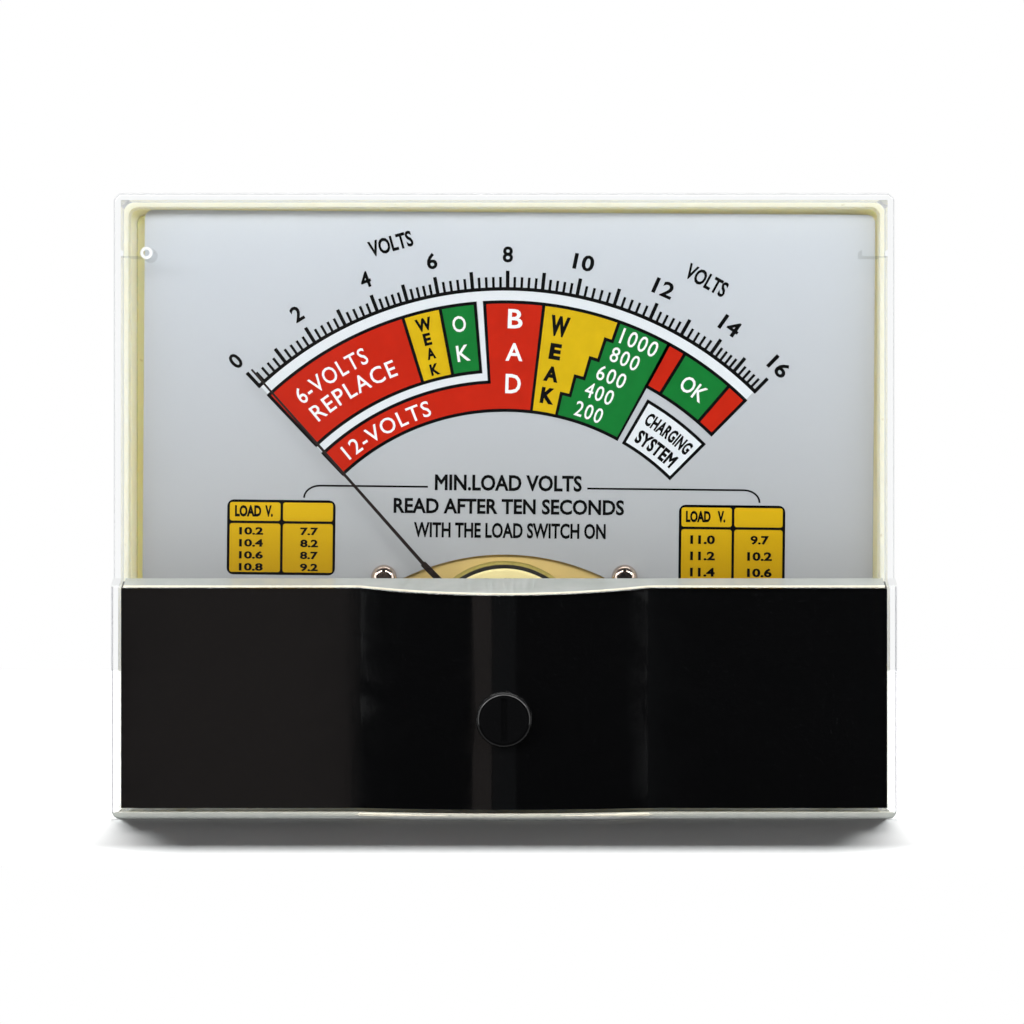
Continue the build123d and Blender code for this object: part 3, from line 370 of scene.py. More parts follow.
def write(shape, words, place, width, height, weight, spacing=1.0):
    """Raised words on the plate; place says where a point across and up from their middle goes."""
    points, faces = glyphs(words, width, height, weight, spacing)
    placed = []
    for across, up, raised in points:
        x, z = place(across, up)
        placed.append((x, PLATE_FACE - LETTER if raised else PLATE_FACE + SINK, z))
    shape.add(placed, faces)


def write_flat(shape, words, centre, width, height, weight):
    """Words along a straight line of the print."""

    def place(across, up):
        return turned(centre[0] + across, centre[1] + up)

    write(shape, words, place, width, height, weight)


def write_tilted(shape, words, radius, angle, width, height, weight):
    """Words set square to the print's radius, unbent."""
    turn = radians(angle)

    def place(across, up):
        reach = radius + up
        x = reach * sin(turn) + across * cos(turn)
        return turned(x, PIVOT_Z + reach * cos(turn) - across * sin(turn))

    write(shape, words, place, width, height, weight)


def write_arc(shape, words, inner, outer, start, end, weight, spacing=1.08):
    """Words bent round the movement axis between two radii and two angles."""
    middle = (inner + outer) / 2

    def place(across, up):
        return polar(middle + up, (start + end) / 2 + degrees(across / middle))

    write(shape, words, place, radians(end - start) * middle, outer - inner, weight, spacing)


def stack(shape, letters, angle, spans, widths, weight):
    """Single letters one under another, each between its own two radii."""
    for letter, (inner, outer), width in zip(letters, spans, widths):
        write_tilted(shape, letter, (inner + outer) / 2, angle, width, outer - inner, weight)


# -------- material helpers


def colour(red, green, blue):
    """Linear colour from screen values of 0 to 255."""
    linear = []
    for value in (red, green, blue):
        share = value / 255
        linear.append(share / 12.92 if share <= 0.04045 else ((share + 0.055) / 1.055) ** 2.4)
    return (*linear, 1.0)


def shaded(base, factor):
    """A colour made darker or lighter."""
    return (*[min(1.0, part * factor) for part in base[:3]], 1.0)


class Finish:
    """A procedural material: base shader with helpers for noise, mixes and bumps."""

    def __init__(self, name):
        self.material = bpy.data.materials.new(name)
        self.material.use_nodes = True
        self.nodes = self.material.node_tree.nodes
        self.links = self.material.node_tree.links
        self.shader = self.nodes["Principled BSDF"]
        self.output = self.nodes["Material Output"]
        self.place = self.node("TexCoord").outputs["Object"]

    def feed(self, socket, given):
        """A value or another node's output on a socket."""
        if hasattr(given, "is_linked"):
            self.links.new(given, socket)
        else:
            socket.default_value = given

    def node(self, kind, **values):
        """A new node, with values or outputs on its sockets by their names."""
        node = self.nodes.new("ShaderNode" + kind)
        for key, given in values.items():
            self.feed(node.inputs[key.replace("_", " ")], given)
        return node

    def set(self, **values):
        """Values or outputs on the base shader's sockets by their names."""
        for key, given in values.items():
            self.feed(self.shader.inputs[key.replace("_", " ")], given)
        return self

    def axis(self, name):
        """One object coordinate in metres."""
        return self.node("SeparateXYZ", Vector=self.place).outputs[name]

    def from_axis(self):
        """Distance in millimetres from the movement's axis."""
        across = self.maths("MULTIPLY", self.axis("X"), 1 / MM)
        up = self.maths("SUBTRACT", self.maths("MULTIPLY", self.axis("Z"), 1 / MM), PIVOT_Z)
        squares = self.maths("ADD", self.maths("POWER", across, 2), self.maths("POWER", up, 2))
        return self.maths("POWER", squares, 0.5)

    def stretched(self, scale):
        """Object coordinates scaled differently along each axis."""
        return self.node("Mapping", Scale=scale, Vector=self.place).outputs["Vector"]

    def noise(self, size, detail=3.0, vector=None, distortion=0.0):
        """Noise whose features are about size millimetres wide."""
        node = self.node("TexNoise", Scale=1 / (size * MM), Detail=detail, Distortion=distortion)
        self.links.new(vector or self.place, node.inputs["Vector"])
        return node.outputs["Fac"]

    def limits(self, value, low=0.0, high=1.0, start=0.3, end=0.7):
        """The value mapped from start..end to low..high."""
        node = self.node("MapRange", Value=value, From_Min=start, From_Max=end, To_Min=low, To_Max=high)
        return node.outputs["Result"]

    def mixed(self, factor, first, second):
        """A colour between two colours, each a value or another node's output."""
        node = self.node("Mix", Factor=factor)
        node.data_type = "RGBA"
        colours = [socket for socket in node.inputs if socket.type == "RGBA"]
        self.feed(colours[0], first)
        self.feed(colours[1], second)
        return next(socket for socket in node.outputs if socket.type == "RGBA")

    def maths(self, operation, first, second=0.0):
        """One arithmetic step on numbers or other nodes' outputs."""
        node = self.node("Math")
        node.operation = operation
        self.feed(node.inputs[0], first)
        self.feed(node.inputs[1], second)
        return node.outputs["Value"]

    def bump(self, height, depth, under=None):
        """Bump of a height from 0 to 1, its depth in millimetres."""
        below = {"Normal": under} if under else {}
        return self.node("Bump", Height=height, Distance=depth * MM, **below).outputs["Normal"]

    def blend(self, factor, first, second):
        """A shader between two shaders."""
        node = self.node("MixShader", Fac=factor)
        self.links.new(first.outputs[0], node.inputs[1])
        self.links.new(second.outputs[0], node.inputs[2])
        return node


def basic(name, base, mottle, size, rough, bump, bump_size=0.4, **extra):
    """A material with colour mottle, uneven gloss and a fine surface texture."""
    made = Finish(name)
    patches = made.limits(made.noise(size, 4.0))
    made.set(Base_Color=made.mixed(patches, shaded(base, 1 - mottle), shaded(base, 1 + mottle)))
    made.set(Roughness=made.limits(made.noise(size * 0.6, 2.0), *rough), **extra)
    return made.set(Normal=made.bump(made.noise(bump_size, 3.0), bump))


def brushed(name, base, stretch, rough, tarnish=None):
    """Metal with fine tool marks that run across the stretched axis, and faint stains."""
    made = Finish(name)
    marks = made.noise(1.0, 5.0, made.stretched(stretch))
    stains = made.limits(made.noise(2.2, 4.0), 0.0, 1.0, 0.45, 0.75)
    toned = made.mixed(made.limits(marks), shaded(base, 0.9), shaded(base, 1.1))
    made.set(Base_Color=made.mixed(stains, toned, tarnish or shaded(base, 0.75)), Metallic=1.0)
    return made.set(Roughness=made.limits(marks, *rough), Normal=made.bump(marks, 0.006))


# -------- materials


def ledge_mask(made):
    """1 on the ledge over the black band, where the painted highlight haze goes, 0 elsewhere."""
    normal = made.nodes["Texture Coordinate"].outputs["Normal"]
    upward = made.maths("GREATER_THAN", made.node("SeparateXYZ", Vector=normal).outputs["Z"], 0.7)
    below = made.maths("LESS_THAN", made.axis("Z"), LEDGE_SPAN[1] * MM)
    above = made.maths("GREATER_THAN", made.axis("Z"), LEDGE_SPAN[0] * MM)
    between_walls = made.maths("LESS_THAN", made.maths("ABSOLUTE", made.axis("X")), LEDGE_HALF * MM)
    band = made.maths("MULTIPLY", below, above)
    return made.maths("MULTIPLY", upward, made.maths("MULTIPLY", band, between_walls))


def frosted(made):
    """Where the painted highlight haze goes: the ledge, and less strongly the foot of the cover beside
    the bulge, where it stands in for light glowing in the clear bottom wall.
    """
    foot = made.maths("LESS_THAN", made.axis("Z"), FOOT_Z * MM)
    strength = made.limits(made.maths("ABSOLUTE", made.axis("X")), 0.45, 0.9, 8 * MM, 30 * MM)
    return made.maths("MAXIMUM", ledge_mask(made), made.maths("MULTIPLY", foot, strength))


def clear_acrylic():
    """Polished clear plastic with hairline marks; a grey haze on its ledge over the black band, on its
    foot and at grazing angles is painted highlight.
    """
    made = Finish("clear_acrylic")
    made.nodes.remove(made.shader)
    hairlines = made.bump(made.noise(0.5, 6.0, made.stretched((1.0, 1.0, 0.04))), 0.0008)
    smears = made.limits(made.noise(14.0, 3.0, distortion=0.6), 0.015, 0.06)
    gloss = made.node("BsdfGlossy", Roughness=smears, Normal=hairlines)
    through = made.node("BsdfTransparent", Color=(0.99, 0.995, 0.995, 1))
    cloud = made.mixed(made.limits(made.noise(3.0)), colour(178, 183, 178), colour(188, 191, 187))
    haze = made.node("BsdfDiffuse", Color=cloud)
    # painted sheen: grey haze where the surface is seen at a grazing angle, joined with the painted
    # highlight on the ledge and foot
    edge = made.node("LayerWeight", Blend=0.3).outputs["Facing"]
    painted_haze_amount = made.maths("MAXIMUM", made.limits(edge, 0.0, 0.1, 0.7, 1.0), frosted(made))
    front = made.maths("SUBTRACT", 1.0, made.node("NewGeometry").outputs["Backfacing"])
    reflected = made.maths("MULTIPLY", made.node("Fresnel", IOR=1.49).outputs[0], front)
    body = made.blend(made.maths("MULTIPLY", painted_haze_amount, front), through, haze)
    body = made.blend(reflected, body, gloss)
    unshadowed = made.node("BsdfTransparent", Color=(0.96, 0.97, 0.97, 1))
    final = made.blend(made.node("LightPath").outputs["Is Shadow Ray"], body, unshadowed)
    made.links.new(final.outputs[0], made.output.inputs["Surface"])
    return made


def black_gloss():
    """Glossy black plastic with dust and faint swirl marks."""
    made = Finish("black_gloss")
    dust = made.limits(made.noise(0.25, 2.0), 0.0, 1.0, 0.68, 0.8)
    made.set(Base_Color=made.mixed(dust, (0.0025, 0.0025, 0.0028, 1), (0.012, 0.012, 0.012, 1)))
    swirls = made.noise(6.0, 4.0, distortion=1.2)
    made.set(Roughness=made.limits(swirls, 0.05, 0.12))
    return made.set(Normal=made.bump(made.noise(3.0, 2.0), 0.003), IOR=1.5)


def cream_plastic():
    """Moulded cream plastic: slight flow marks, satin grain and a little light through it."""
    made = Finish("cream_plastic")
    flow = made.noise(9.0, 4.0, made.stretched((1.0, 1.0, 0.35)), distortion=0.5)
    grain = made.noise(0.35, 3.0)
    base = made.mixed(made.limits(flow), colour(255, 241, 200), colour(255, 246, 212))
    specks = made.limits(made.noise(0.6, 1.0), 0.0, 0.6, 0.72, 0.85)
    made.set(Base_Color=made.mixed(specks, base, colour(216, 194, 142)))
    made.set(Roughness=made.limits(grain, 0.34, 0.5), Subsurface_Weight=0.75)
    made.set(Subsurface_Radius=(1.0, 0.85, 0.6), Subsurface_Scale=0.005)
    return made.set(Normal=made.bump(grain, 0.012, under=made.bump(flow, 0.03)))


def dial_plate_finish():
    """Satin light blue-grey enamel on the dial's metal, with very fine orange peel, and painted shade
    that makes it darker and greyer toward the bottom.
    """
    made = Finish("dial_enamel")
    # painted shade: the enamel goes darker and greyer from the top of the plate down toward the black
    # band
    height = made.limits(made.axis("Z"), 0.0, 1.0, -14 * MM, 36 * MM)
    painted_shade_by_height = made.mixed(height, colour(172, 172, 172), colour(214, 219, 227))
    clouds = made.limits(made.noise(22.0, 3.0), 0.0, 0.06)
    base = made.mixed(clouds, painted_shade_by_height, colour(160, 168, 180))
    specks = made.limits(made.noise(0.3, 1.0), 0.0, 0.35, 0.74, 0.86)
    made.set(Base_Color=made.mixed(specks, base, colour(170, 178, 186)))
    made.set(Roughness=made.limits(made.noise(0.8, 3.0), 0.46, 0.58), Specular_IOR_Level=0.12)
    return made.set(Normal=made.bump(made.noise(0.5, 3.0), 0.004))


def ink(name, base, mottle=0.05):
    """Screen-printed ink: satin, with slightly uneven cover."""
    return basic(name, base, mottle, 1.8, (0.5, 0.64), 0.0025, bump_size=0.22, Specular_IOR_Level=0.06)


def amber_ink():
    """Yellow ink of the tables, with painted shade that darkens it toward their foot."""
    made = ink("ink_amber", colour(214, 172, 20))
    # painted shade: the ink darkens toward the foot of the tables
    height = made.limits(made.axis("Z"), 0.0, 1.0, -12 * MM, 0.5 * MM)
    return made.set(Base_Color=made.mixed(height, colour(180, 138, 14), colour(222, 180, 22)))


def passivated_iron():
    """Yoke ring: a yellow-green passivated edge, and painted shadow that darkens it within 10.5 mm of the
    axis, where the gap beside the bridge disc lies in shade.
    """
    made = Finish("passivated_iron")
    marks = made.noise(1.0, 5.0, made.stretched((2.0, 14.0, 2.0)))
    # painted shadow: the ring is dark inside 10.5 mm from the axis, standing in for the shaded gap beside
    # the bridge disc
    edge = made.limits(made.from_axis(), 0.0, 1.0, 10.5, 10.6)
    dark = made.mixed(made.limits(marks), colour(20, 18, 14), colour(34, 30, 22))
    yellow = made.mixed(made.limits(marks), colour(168, 152, 76), colour(192, 176, 98))
    made.set(Base_Color=made.mixed(edge, dark, yellow), Metallic=0.3)
    return made.set(Roughness=made.limits(marks, 0.4, 0.55), Normal=made.bump(marks, 0.006))


def winding_finish():
    """Enamelled copper wire: warm, glossy, darker between the turns."""
    made = basic("copper", colour(176, 92, 48), 0.12, 0.9, (0.2, 0.32), 0.004, Metallic=0.85)
    return made.set(Coat_Weight=0.6, Coat_Roughness=0.12)


def special_materials():
    """Materials with a recipe of their own, by slot, node or ink."""
    return {
        "clear_acrylic": clear_acrylic(),
        "black_gloss": black_gloss(),
        "cream_plastic": cream_plastic(),
        "dial_print": dial_plate_finish(),
        "yoke_ring": passivated_iron(),
        "copper": winding_finish(),
        "ink_amber": amber_ink(),
        "zinc": basic("zinc", colour(158, 158, 155), 0.08, 1.5, (0.4, 0.6), 0.02, Metallic=0.9),
        "ruby": basic(
            "ruby", colour(160, 18, 44), 0.1, 0.4, (0.05, 0.1), 0.001, Transmission_Weight=0.35, IOR=1.76
        ),
        "pointer_black": basic(
            "pointer_black", colour(30, 18, 14), 0.2, 1.2, (0.4, 0.55), 0.004, Specular_IOR_Level=0.2
        ),
        "rubber": basic("rubber", colour(28, 28, 28), 0.15, 0.8, (0.6, 0.8), 0.01, bump_size=0.15),
    }


def make_materials():
    """Every material, by slot, node or ink."""
    made = special_materials()
    for name, base, stretch, rough, stain in (
        ("nickel", (214, 196, 184), (3.0, 12.0, 3.0), (0.05, 0.12), None),
        ("steel", (150, 150, 152), (1.0, 22.0, 1.0), (0.24, 0.42), None),
        ("soft_iron", (84, 88, 86), (2.0, 14.0, 2.0), (0.34, 0.5), (58, 56, 50)),
        ("magnet", (112, 112, 116), (2.0, 10.0, 2.0), (0.3, 0.46), None),
        ("brass", (205, 168, 92), (1.0, 22.0, 1.0), (0.18, 0.34), (150, 116, 58)),
        ("spring_bronze", (196, 140, 84), (4.0, 4.0, 20.0), (0.22, 0.36), None),
        ("aluminium", (198, 198, 200), (4.0, 4.0, 18.0), (0.26, 0.42), None),
        ("tinned_wire", (190, 190, 186), (3.0, 3.0, 3.0), (0.22, 0.4), None),
    ):
        made[name] = brushed(name, colour(*base), stretch, rough, stain and colour(*stain))
    for name, base, mottle, size, rough, bump in (
        # painted shade: the movement frame is the cream plastic darkened and yellowed for its shadowed
        # place behind the dial plate
        ("movement_frame", (222, 192, 120), 0.05, 5.0, (0.36, 0.5), 0.01),
        ("front_bridge", (252, 234, 168), 0.03, 4.0, (0.32, 0.46), 0.008),
        # painted highlight: colour of the grey tubes that draw the cover's edge lines
        ("painted_edge_line", (192, 192, 196), 0.03, 2.0, (0.15, 0.3), 0.002),
        # painted highlight: colour of the bright tubes on the ledge's edge and the band's foot
        ("painted_edge_highlight", (252, 246, 226), 0.02, 2.0, (0.2, 0.35), 0.002),
        ("resistor_body", (206, 182, 140), 0.05, 1.4, (0.22, 0.34), 0.01),
        ("red_insulation", (182, 30, 24), 0.06, 1.5, (0.34, 0.46), 0.01),
        ("black_insulation", (30, 30, 32), 0.1, 1.5, (0.38, 0.5), 0.01),
    ):
        made[name] = basic(name, colour(*base), mottle, size, rough, bump)
    for name, base, mottle in (
        ("ink_black", (7, 7, 8), 0.15),
        ("ink_white", (250, 251, 252), 0.01),
        ("ink_grey", (232, 236, 241), 0.01),
        ("ink_red", (198, 37, 14), 0.05),
        ("ink_yellow", (220, 182, 18), 0.05),
        ("ink_green", (20, 121, 50), 0.05),
    ):
        made[name] = ink(name, colour(*base), mottle)
    return {name: finish.material for name, finish in made.items()}


# -------- dial print


def scale_print():
    """Baseline and ticks of the voltage scale: one tick each 0.2 V, a longer one each volt."""
    shape = Shape()
    half = BASELINE_WIDTH / 2
    edge = degrees(MAJOR_WIDTH / 2 / SCALE_RADIUS)
    start, end = SCALE_ANGLES[0] - edge, SCALE_ANGLES[-1] + edge
    shape.prism(sector(SCALE_RADIUS - half, SCALE_RADIUS + half, start, end), LINE)
    for low, high in zip(SCALE_ANGLES, SCALE_ANGLES[1:]):
        for tick in range(TICKS_PER_STEP):
            angle = low + (high - low) * tick / TICKS_PER_STEP
            draw_tick(shape, angle, major=2 * tick % TICKS_PER_STEP == 0)
    draw_tick(shape, SCALE_ANGLES[-1], major=True)
    return shape


def draw_tick(shape, angle, major):
    """One tick outward from the baseline."""
    width = MAJOR_WIDTH if major else MINOR_WIDTH
    end = MAJOR_END if major else MINOR_END
    shape.prism(stroke([polar(SCALE_RADIUS, angle), polar(end, angle)], width), TICK)


def numeral_print():
    """Numbers of the scale and the unit at both sides."""
    shape = Shape()
    for volts, angle in zip(SCALE_VOLTS, SCALE_ANGLES):
        words = str(volts)
        width = NUMERAL_WIDTH * len(words)
        write_tilted(shape, words, NUMERAL_RADIUS, angle, width, NUMERAL_HEIGHT, 0.026)
    for angle in VOLTS_ANGLES:
        write_tilted(shape, "VOLTS", VOLTS_RADIUS, angle, VOLTS_WIDTH, NUMERAL_HEIGHT, 0.03)
    return shape


def stepped(far_border, inset, side):
    """Outline of the weak area (side -1) or of the good area (side 1) along the stepped border."""
    points = []
    inner = BAND_INNER + inset
    for turn, outer in STEPS:
        shifted = turn + side * degrees(inset / outer)
        top = BAND_OUTER - inset if outer == BAND_OUTER else outer - side * inset
        points += [polar(inner, shifted), polar(top, shifted)]
        inner = top
    far = far_border - side * degrees(inset / BAND_OUTER)
    first = STEPS[0][0] + side * degrees(inset / BAND_INNER)
    last = STEPS[-1][0] + side * degrees(inset / BAND_OUTER)
    return points + arc(BAND_OUTER - inset, last, far)[1:] + arc(BAND_INNER + inset, far, first)[:-1]


def band_outlines():
    """Black areas that show round and between the coloured ones."""
    shape = Shape()
    half = OUTLINE / 2
    for inner, outer, start, end in (
        (GAP_OUTER, BAND_OUTER, ZONE_START, SMALL_OK_END),
        (BAND_INNER, GAP_INNER, ZONE_START, BAD_START),
        (BAND_INNER, BAND_OUTER, BAD_START, GOOD_END),
        (CHARGE_INNER, BAND_OUTER, GOOD_END, ZONE_END),
        (BAND_INNER, BOX_OUTER, BOX_START, BOX_END),
    ):
        turn = degrees(half / outer)
        shape.prism(sector(inner - half, outer + half, start - turn, end + turn), FILL)
    return shape


def band_fills():
    """Coloured areas inside their outlines: red, yellow, green and white."""
    half = OUTLINE / 2
    red, yellow, green, white = Shape(), Shape(), Shape(), Shape()
    for shape, inner, outer, start, end in (
        (red, GAP_OUTER, BAND_OUTER, ZONE_START, SMALL_WEAK_START),
        (yellow, GAP_OUTER, BAND_OUTER, SMALL_WEAK_START, SMALL_OK_START),
        (green, GAP_OUTER, BAND_OUTER, SMALL_OK_START, SMALL_OK_END),
        (red, CHARGE_INNER, BAND_OUTER, GOOD_END, CHARGE_OK_START),
        (green, CHARGE_INNER, BAND_OUTER, CHARGE_OK_START, CHARGE_OK_END),
        (red, CHARGE_INNER, BAND_OUTER, CHARGE_OK_END, ZONE_END),
        (white, BAND_INNER, BOX_OUTER, BOX_START, BOX_END),
    ):
        shape.prism(sector_inset(inner, outer, start, end, half), LINE)
    red.prism(l_area(half), LINE)
    yellow.prism(stepped(BAD_END, half, -1), LINE)
    green.prism(stepped(GOOD_END, half, 1), LINE)
    gap = half + GAP_CLEARANCE
    gap_turn = degrees(gap / GAP_OUTER)
    for inner, outer, start, end in (
        (BAND_OUTER + gap, SCALE_RADIUS - BASELINE_WIDTH / 2, ZONE_START, ZONE_END),
        (GAP_INNER + gap, GAP_OUTER - gap, ZONE_START, SMALL_OK_END + gap_turn),
        (GAP_INNER + gap, BAND_OUTER + gap, SMALL_OK_END + gap_turn, BAD_START - gap_turn),
    ):
        white.prism(sector(inner, outer, start, end), FILL)
    return red, yellow, green, white


def l_area(inset):
    """The low red band together with the full-height red block at its end."""
    corner = BAD_START + degrees(inset / GAP_INNER)
    left = ZONE_START + degrees(inset / GAP_INNER)
    top_left = BAD_START + degrees(inset / BAND_OUTER)
    top_right = BAD_END - degrees(inset / BAND_OUTER)
    low_right = BAD_END - degrees(inset / BAND_INNER)
    return (
        arc(GAP_INNER - inset, left, corner)
        + arc(BAND_OUTER - inset, top_left, top_right)
        + arc(BAND_INNER + inset, low_right, left)
    )


def band_lettering():
    """White and black words on the bands."""
    white, black = Shape(), Shape()
    for words, inner, outer, start, end in (
        ("6-VOLTS", 40.6, 42.8, -40.4, -26.0),
        ("REPLACE", 37.6, 39.8, -40.2, -22.0),
        ("12-VOLTS", 31.25, 33.3, -40.3, -18.0),
        ("1000", 41.9, 44.0, 20.0, 26.7),
        ("800", 39.3, 41.3, 19.4, 24.9),
        ("600", 36.5, 38.5, 18.1, 24.0),
        ("400", 33.9, 35.9, 16.9, 23.1),
        ("200", 31.2, 33.2, 16.0, 22.5),
    ):
        write_arc(white, words, inner, outer, start, end, 0.008, 1.14)
    write_tilted(white, "OK", 41.3, 35.7, 3.5, 2.15, 0.014)
    stack(white, "OK", -8.6, ((41.0, 43.1), (37.2, 39.3)), (1.75, 1.7), 0.012)
    stack(white, "BAD", 1.3, ((41.1, 43.6), (36.9, 39.2), (32.7, 35.2)), (1.9, 2.2, 2.0), 0.018)
    stack(black, "WEAK", -14.7, SMALL_WEAK, (2.1, 1.0, 1.15, 1.2), 0.045)
    stack(black, "WEAK", 9.2, LARGE_WEAK, (2.5, 1.5, 1.9, 1.8), 0.052)
    write_arc(black, "CHARGING", 33.9, 35.7, 31.3, 42.8, 0.045)
    write_arc(black, "SYSTEM", 31.3, 33.2, 31.6, 42.2, 0.045)
    return white, black


def notes_print(black):
    """Three generic lines over the movement, with the leaders to the two tables."""
    for words, centre, width, height in (
        ("MIN.LOAD VOLTS", (0.3, 2.85), 19.0, 2.1),
        ("READ AFTER TEN SECONDS", (0.4, -0.2), 29.8, 2.0),
        ("WITH THE LOAD SWITCH ON", (0.55, -3.3), 24.8, 2.0),
    ):
        write_flat(black, words, centre, width, height, 0.028)
    for side, start, knee, end in ((-1, 9.9, 23.8, 25.9), (1, 10.7, 31.0, 33.0)):
        points = [(side * start, LEADER_Z), (side * knee, LEADER_Z)]
        for i in range(1, 7):
            angle = radians(15 * i)
            across = knee + (end - knee) * sin(angle)
            points.append((side * across, LEADER_Z - LEADER_DROP * (1 - cos(angle))))
        black.prism(stroke([turned(x + LEADER_SHIFT, z) for x, z in points], LEADER_WIDTH), LINE)


def table_print(black, yellow, low, high, header, divider, titles, rows, first_row, row_step, size):
    """A yellow table with a black frame, two columns and number rows."""
    black.prism(rounded_box(low, high, TABLE_CORNER), FILL)
    inner_low = (low[0] + TABLE_LINE, low[1] + TABLE_LINE)
    inner_high = (high[0] - TABLE_LINE, high[1] - TABLE_LINE)
    half = TABLE_LINE / 2
    for left, right in ((inner_low[0], divider - half), (divider + half, inner_high[0])):
        yellow.prism(rounded_box((left, header + half), (right, inner_high[1]), CELL_CORNER), LINE)
        yellow.prism(rounded_box((left, inner_low[1]), (right, header - half), CELL_CORNER), LINE)
    title_z = (header + high[1]) / 2 - 0.02
    for words, x, width in titles:
        write_flat(black, words, (x, title_z), width, 1.5, 0.05)
    columns = ((low[0] + divider) / 2 - 0.4, (high[0] + divider) / 2 + 0.1)
    for index, row in enumerate(rows):
        for words, x in zip(row, columns):
            place = (x, header - first_row - row_step * index)
            write_flat(black, words, place, size[0] * len(words) / 4, size[1], 0.04)


def tables(black, yellow):
    """The battery's load voltages, a table at each side."""
    table_print(
        black,
        yellow,
        low=(-36.0, -9.35),
        high=(-22.0, 0.35),
        header=-2.55,
        divider=-28.95,
        titles=(("LOAD", -33.3, 3.4), ("V.", -30.6, 1.0)),
        rows=(("10.2", "7.7"), ("10.4", "8.2"), ("10.6", "8.7"), ("10.8", "9.2")),
        first_row=1.15,
        row_step=1.55,
        size=(3.1, 1.0),
    )
    table_print(
        black,
        yellow,
        low=(22.4, -13.2),
        high=(36.15, 0.3),
        header=-2.7,
        divider=29.4,
        titles=(("LOAD", 24.9, 3.2), ("V.", 27.9, 1.0)),
        rows=(("11.0", "9.7"), ("11.2", "10.2"), ("11.4", "10.6"), ("11.6", "11.0")),
        first_row=1.5,
        row_step=2.1,
        size=(3.2, 1.15),
    )


def print_dial(materials):
    """All ink on the plate, one piece for each ink and purpose."""
    red, yellow, green, white = band_fills()
    white_words, black_words = band_lettering()
    notes_print(black_words)
    cells = Shape()
    tables(black_words, cells)
    for name, shape, inked in (
        ("print_scale", scale_print(), "ink_black"),
        ("print_numerals", numeral_print(), "ink_black"),
        ("print_band_outlines", band_outlines(), "ink_black"),
        ("print_red_areas", red, "ink_red"),
        ("print_yellow_areas", yellow, "ink_yellow"),
        ("print_table_cells", cells, "ink_amber"),
        ("print_green_areas", green, "ink_green"),
        ("print_white_areas", white, "ink_grey"),
        ("print_white_lettering", white_words, "ink_white"),
        ("print_black_lettering", black_words, "ink_black"),
    ):
        shape.piece(name, "case", "dial_print", materials[inked])


# -------- edges of the clear cover


def tube(shape, path, radius, normal=Vector((0, 1, 0)), closed=False):
    """Thin round tube along points, its section set out from the path and a normal."""
    rows = []
    count = len(path)
    for i, point in enumerate(path):
        before = path[i - 1] if closed else path[max(i - 1, 0)]
        after = path[(i + 1) % count] if closed else path[min(i + 1, count - 1)]
        along = (Vector(after) - Vector(before)).normalized()
        side = along.cross(normal).normalized()
        over = side.cross(along)
        turns = [2 * pi * k / 8 for k in range(8)]
        rows.append([tuple(Vector(point) + radius * (cos(t) * side + sin(t) * over)) for t in turns])
    if closed:
        rows.append(rows[0])
    shape.grid(rows, closed_ends=not closed)


def band_ahead(x):
    """How far ahead the lower band's face lies at x, on its bulge or beside it."""
    if abs(x) >= BULGE_HALF_CHORD:
        return BAND_FRONT
    radius = (BULGE_HALF_CHORD**2 + BULGE_RISE**2) / (2 * BULGE_RISE)
    return BAND_FRONT + sqrt(radius**2 - x**2) - (radius - BULGE_RISE)


def band_beads(materials):
    """Painted highlights: bright tubes along the front of the ledge and along the foot of the band,
    standing in for the light these edges catch.
    """
    ledge, foot = [], []
    for step in range(-48, 49):
        x = step * LEDGE_HALF / 48
        ahead = band_ahead(x)
        ledge.append((x, 0.06 - ahead, LEDGE_Z - LEDGE_FALL * (ahead - WINDOW_FRONT) - 0.06))
        foot.append((x * COVER_HALF_X / LEDGE_HALF * 0.99, 0.3 - ahead, 0.65 - COVER_HALF_Z))
    # painted highlight: opaque bright tubes in place of the light on the ledge's front edge and in the
    # foot of the band
    for name, path, radius in (("ledge_front_highlight", ledge, 0.14), ("band_foot_highlight", foot, 0.28)):
        shape = Shape()
        tube(shape, path, radius)
        shape.piece(name, "case", "clear_acrylic", materials["painted_edge_highlight"], smooth=True)


def cover_outline(materials):
    """Painted highlights: grey tubes along the edges of the window's face and of the band's face,
    standing in for the thin lines of light that these polished edges catch.
    """
    shape = Shape()
    x, z = COVER_HALF_X - 0.15, COVER_HALF_Z - 0.15
    faces = ((WINDOW_FRONT, LEDGE_Z, 1, 0.035), (BAND_FRONT, LEDGE_Z - 1, -1, 0.1))
    for front, start, side, radius in faces:
        y = 0.5 - front
        end, corner_z = side * z, side * (z - COVER_CORNER)
        corner_x = x - COVER_CORNER
        left = [(-x, y, start), (-x, y, corner_z), (-corner_x, y, end)]
        right = [(corner_x, y, end), (x, y, corner_z), (x, y, start)]
        tube(shape, left + right, radius)
    shape.piece("cover_edge_lines", "case", "clear_acrylic", materials["painted_edge_line"], smooth=True)


def rib_post_ring(materials):
    """Painted highlight: a white ring standing in for the light caught at the end of the clear round post
    on the cover's left rib.
    """
    inner, outer = RIB_POST_GLINT_RADII
    back, front = RIB_POST_GLINT_AHEAD
    corners = ((inner, back), (outer, back), (outer, front), (inner, front), (inner, back))
    shape = Shape()
    shape.grid([circle_row(RIB_POST, radius, -ahead) for radius, ahead in corners], closed_ends=False)
    shape.piece("rib_post_glint", "case", "clear_acrylic", materials["ink_white"], smooth=True)


# -------- threads, nuts and windings


def about(centre, radius, turn, y):
    """A point about an axis along Y."""
    return (centre[0] + radius * cos(turn), y, centre[1] + radius * sin(turn))


def circle_row(centre, radius, y, columns=28):
    return [about(centre, radius, 2 * pi * c / columns, y) for c in range(columns)]


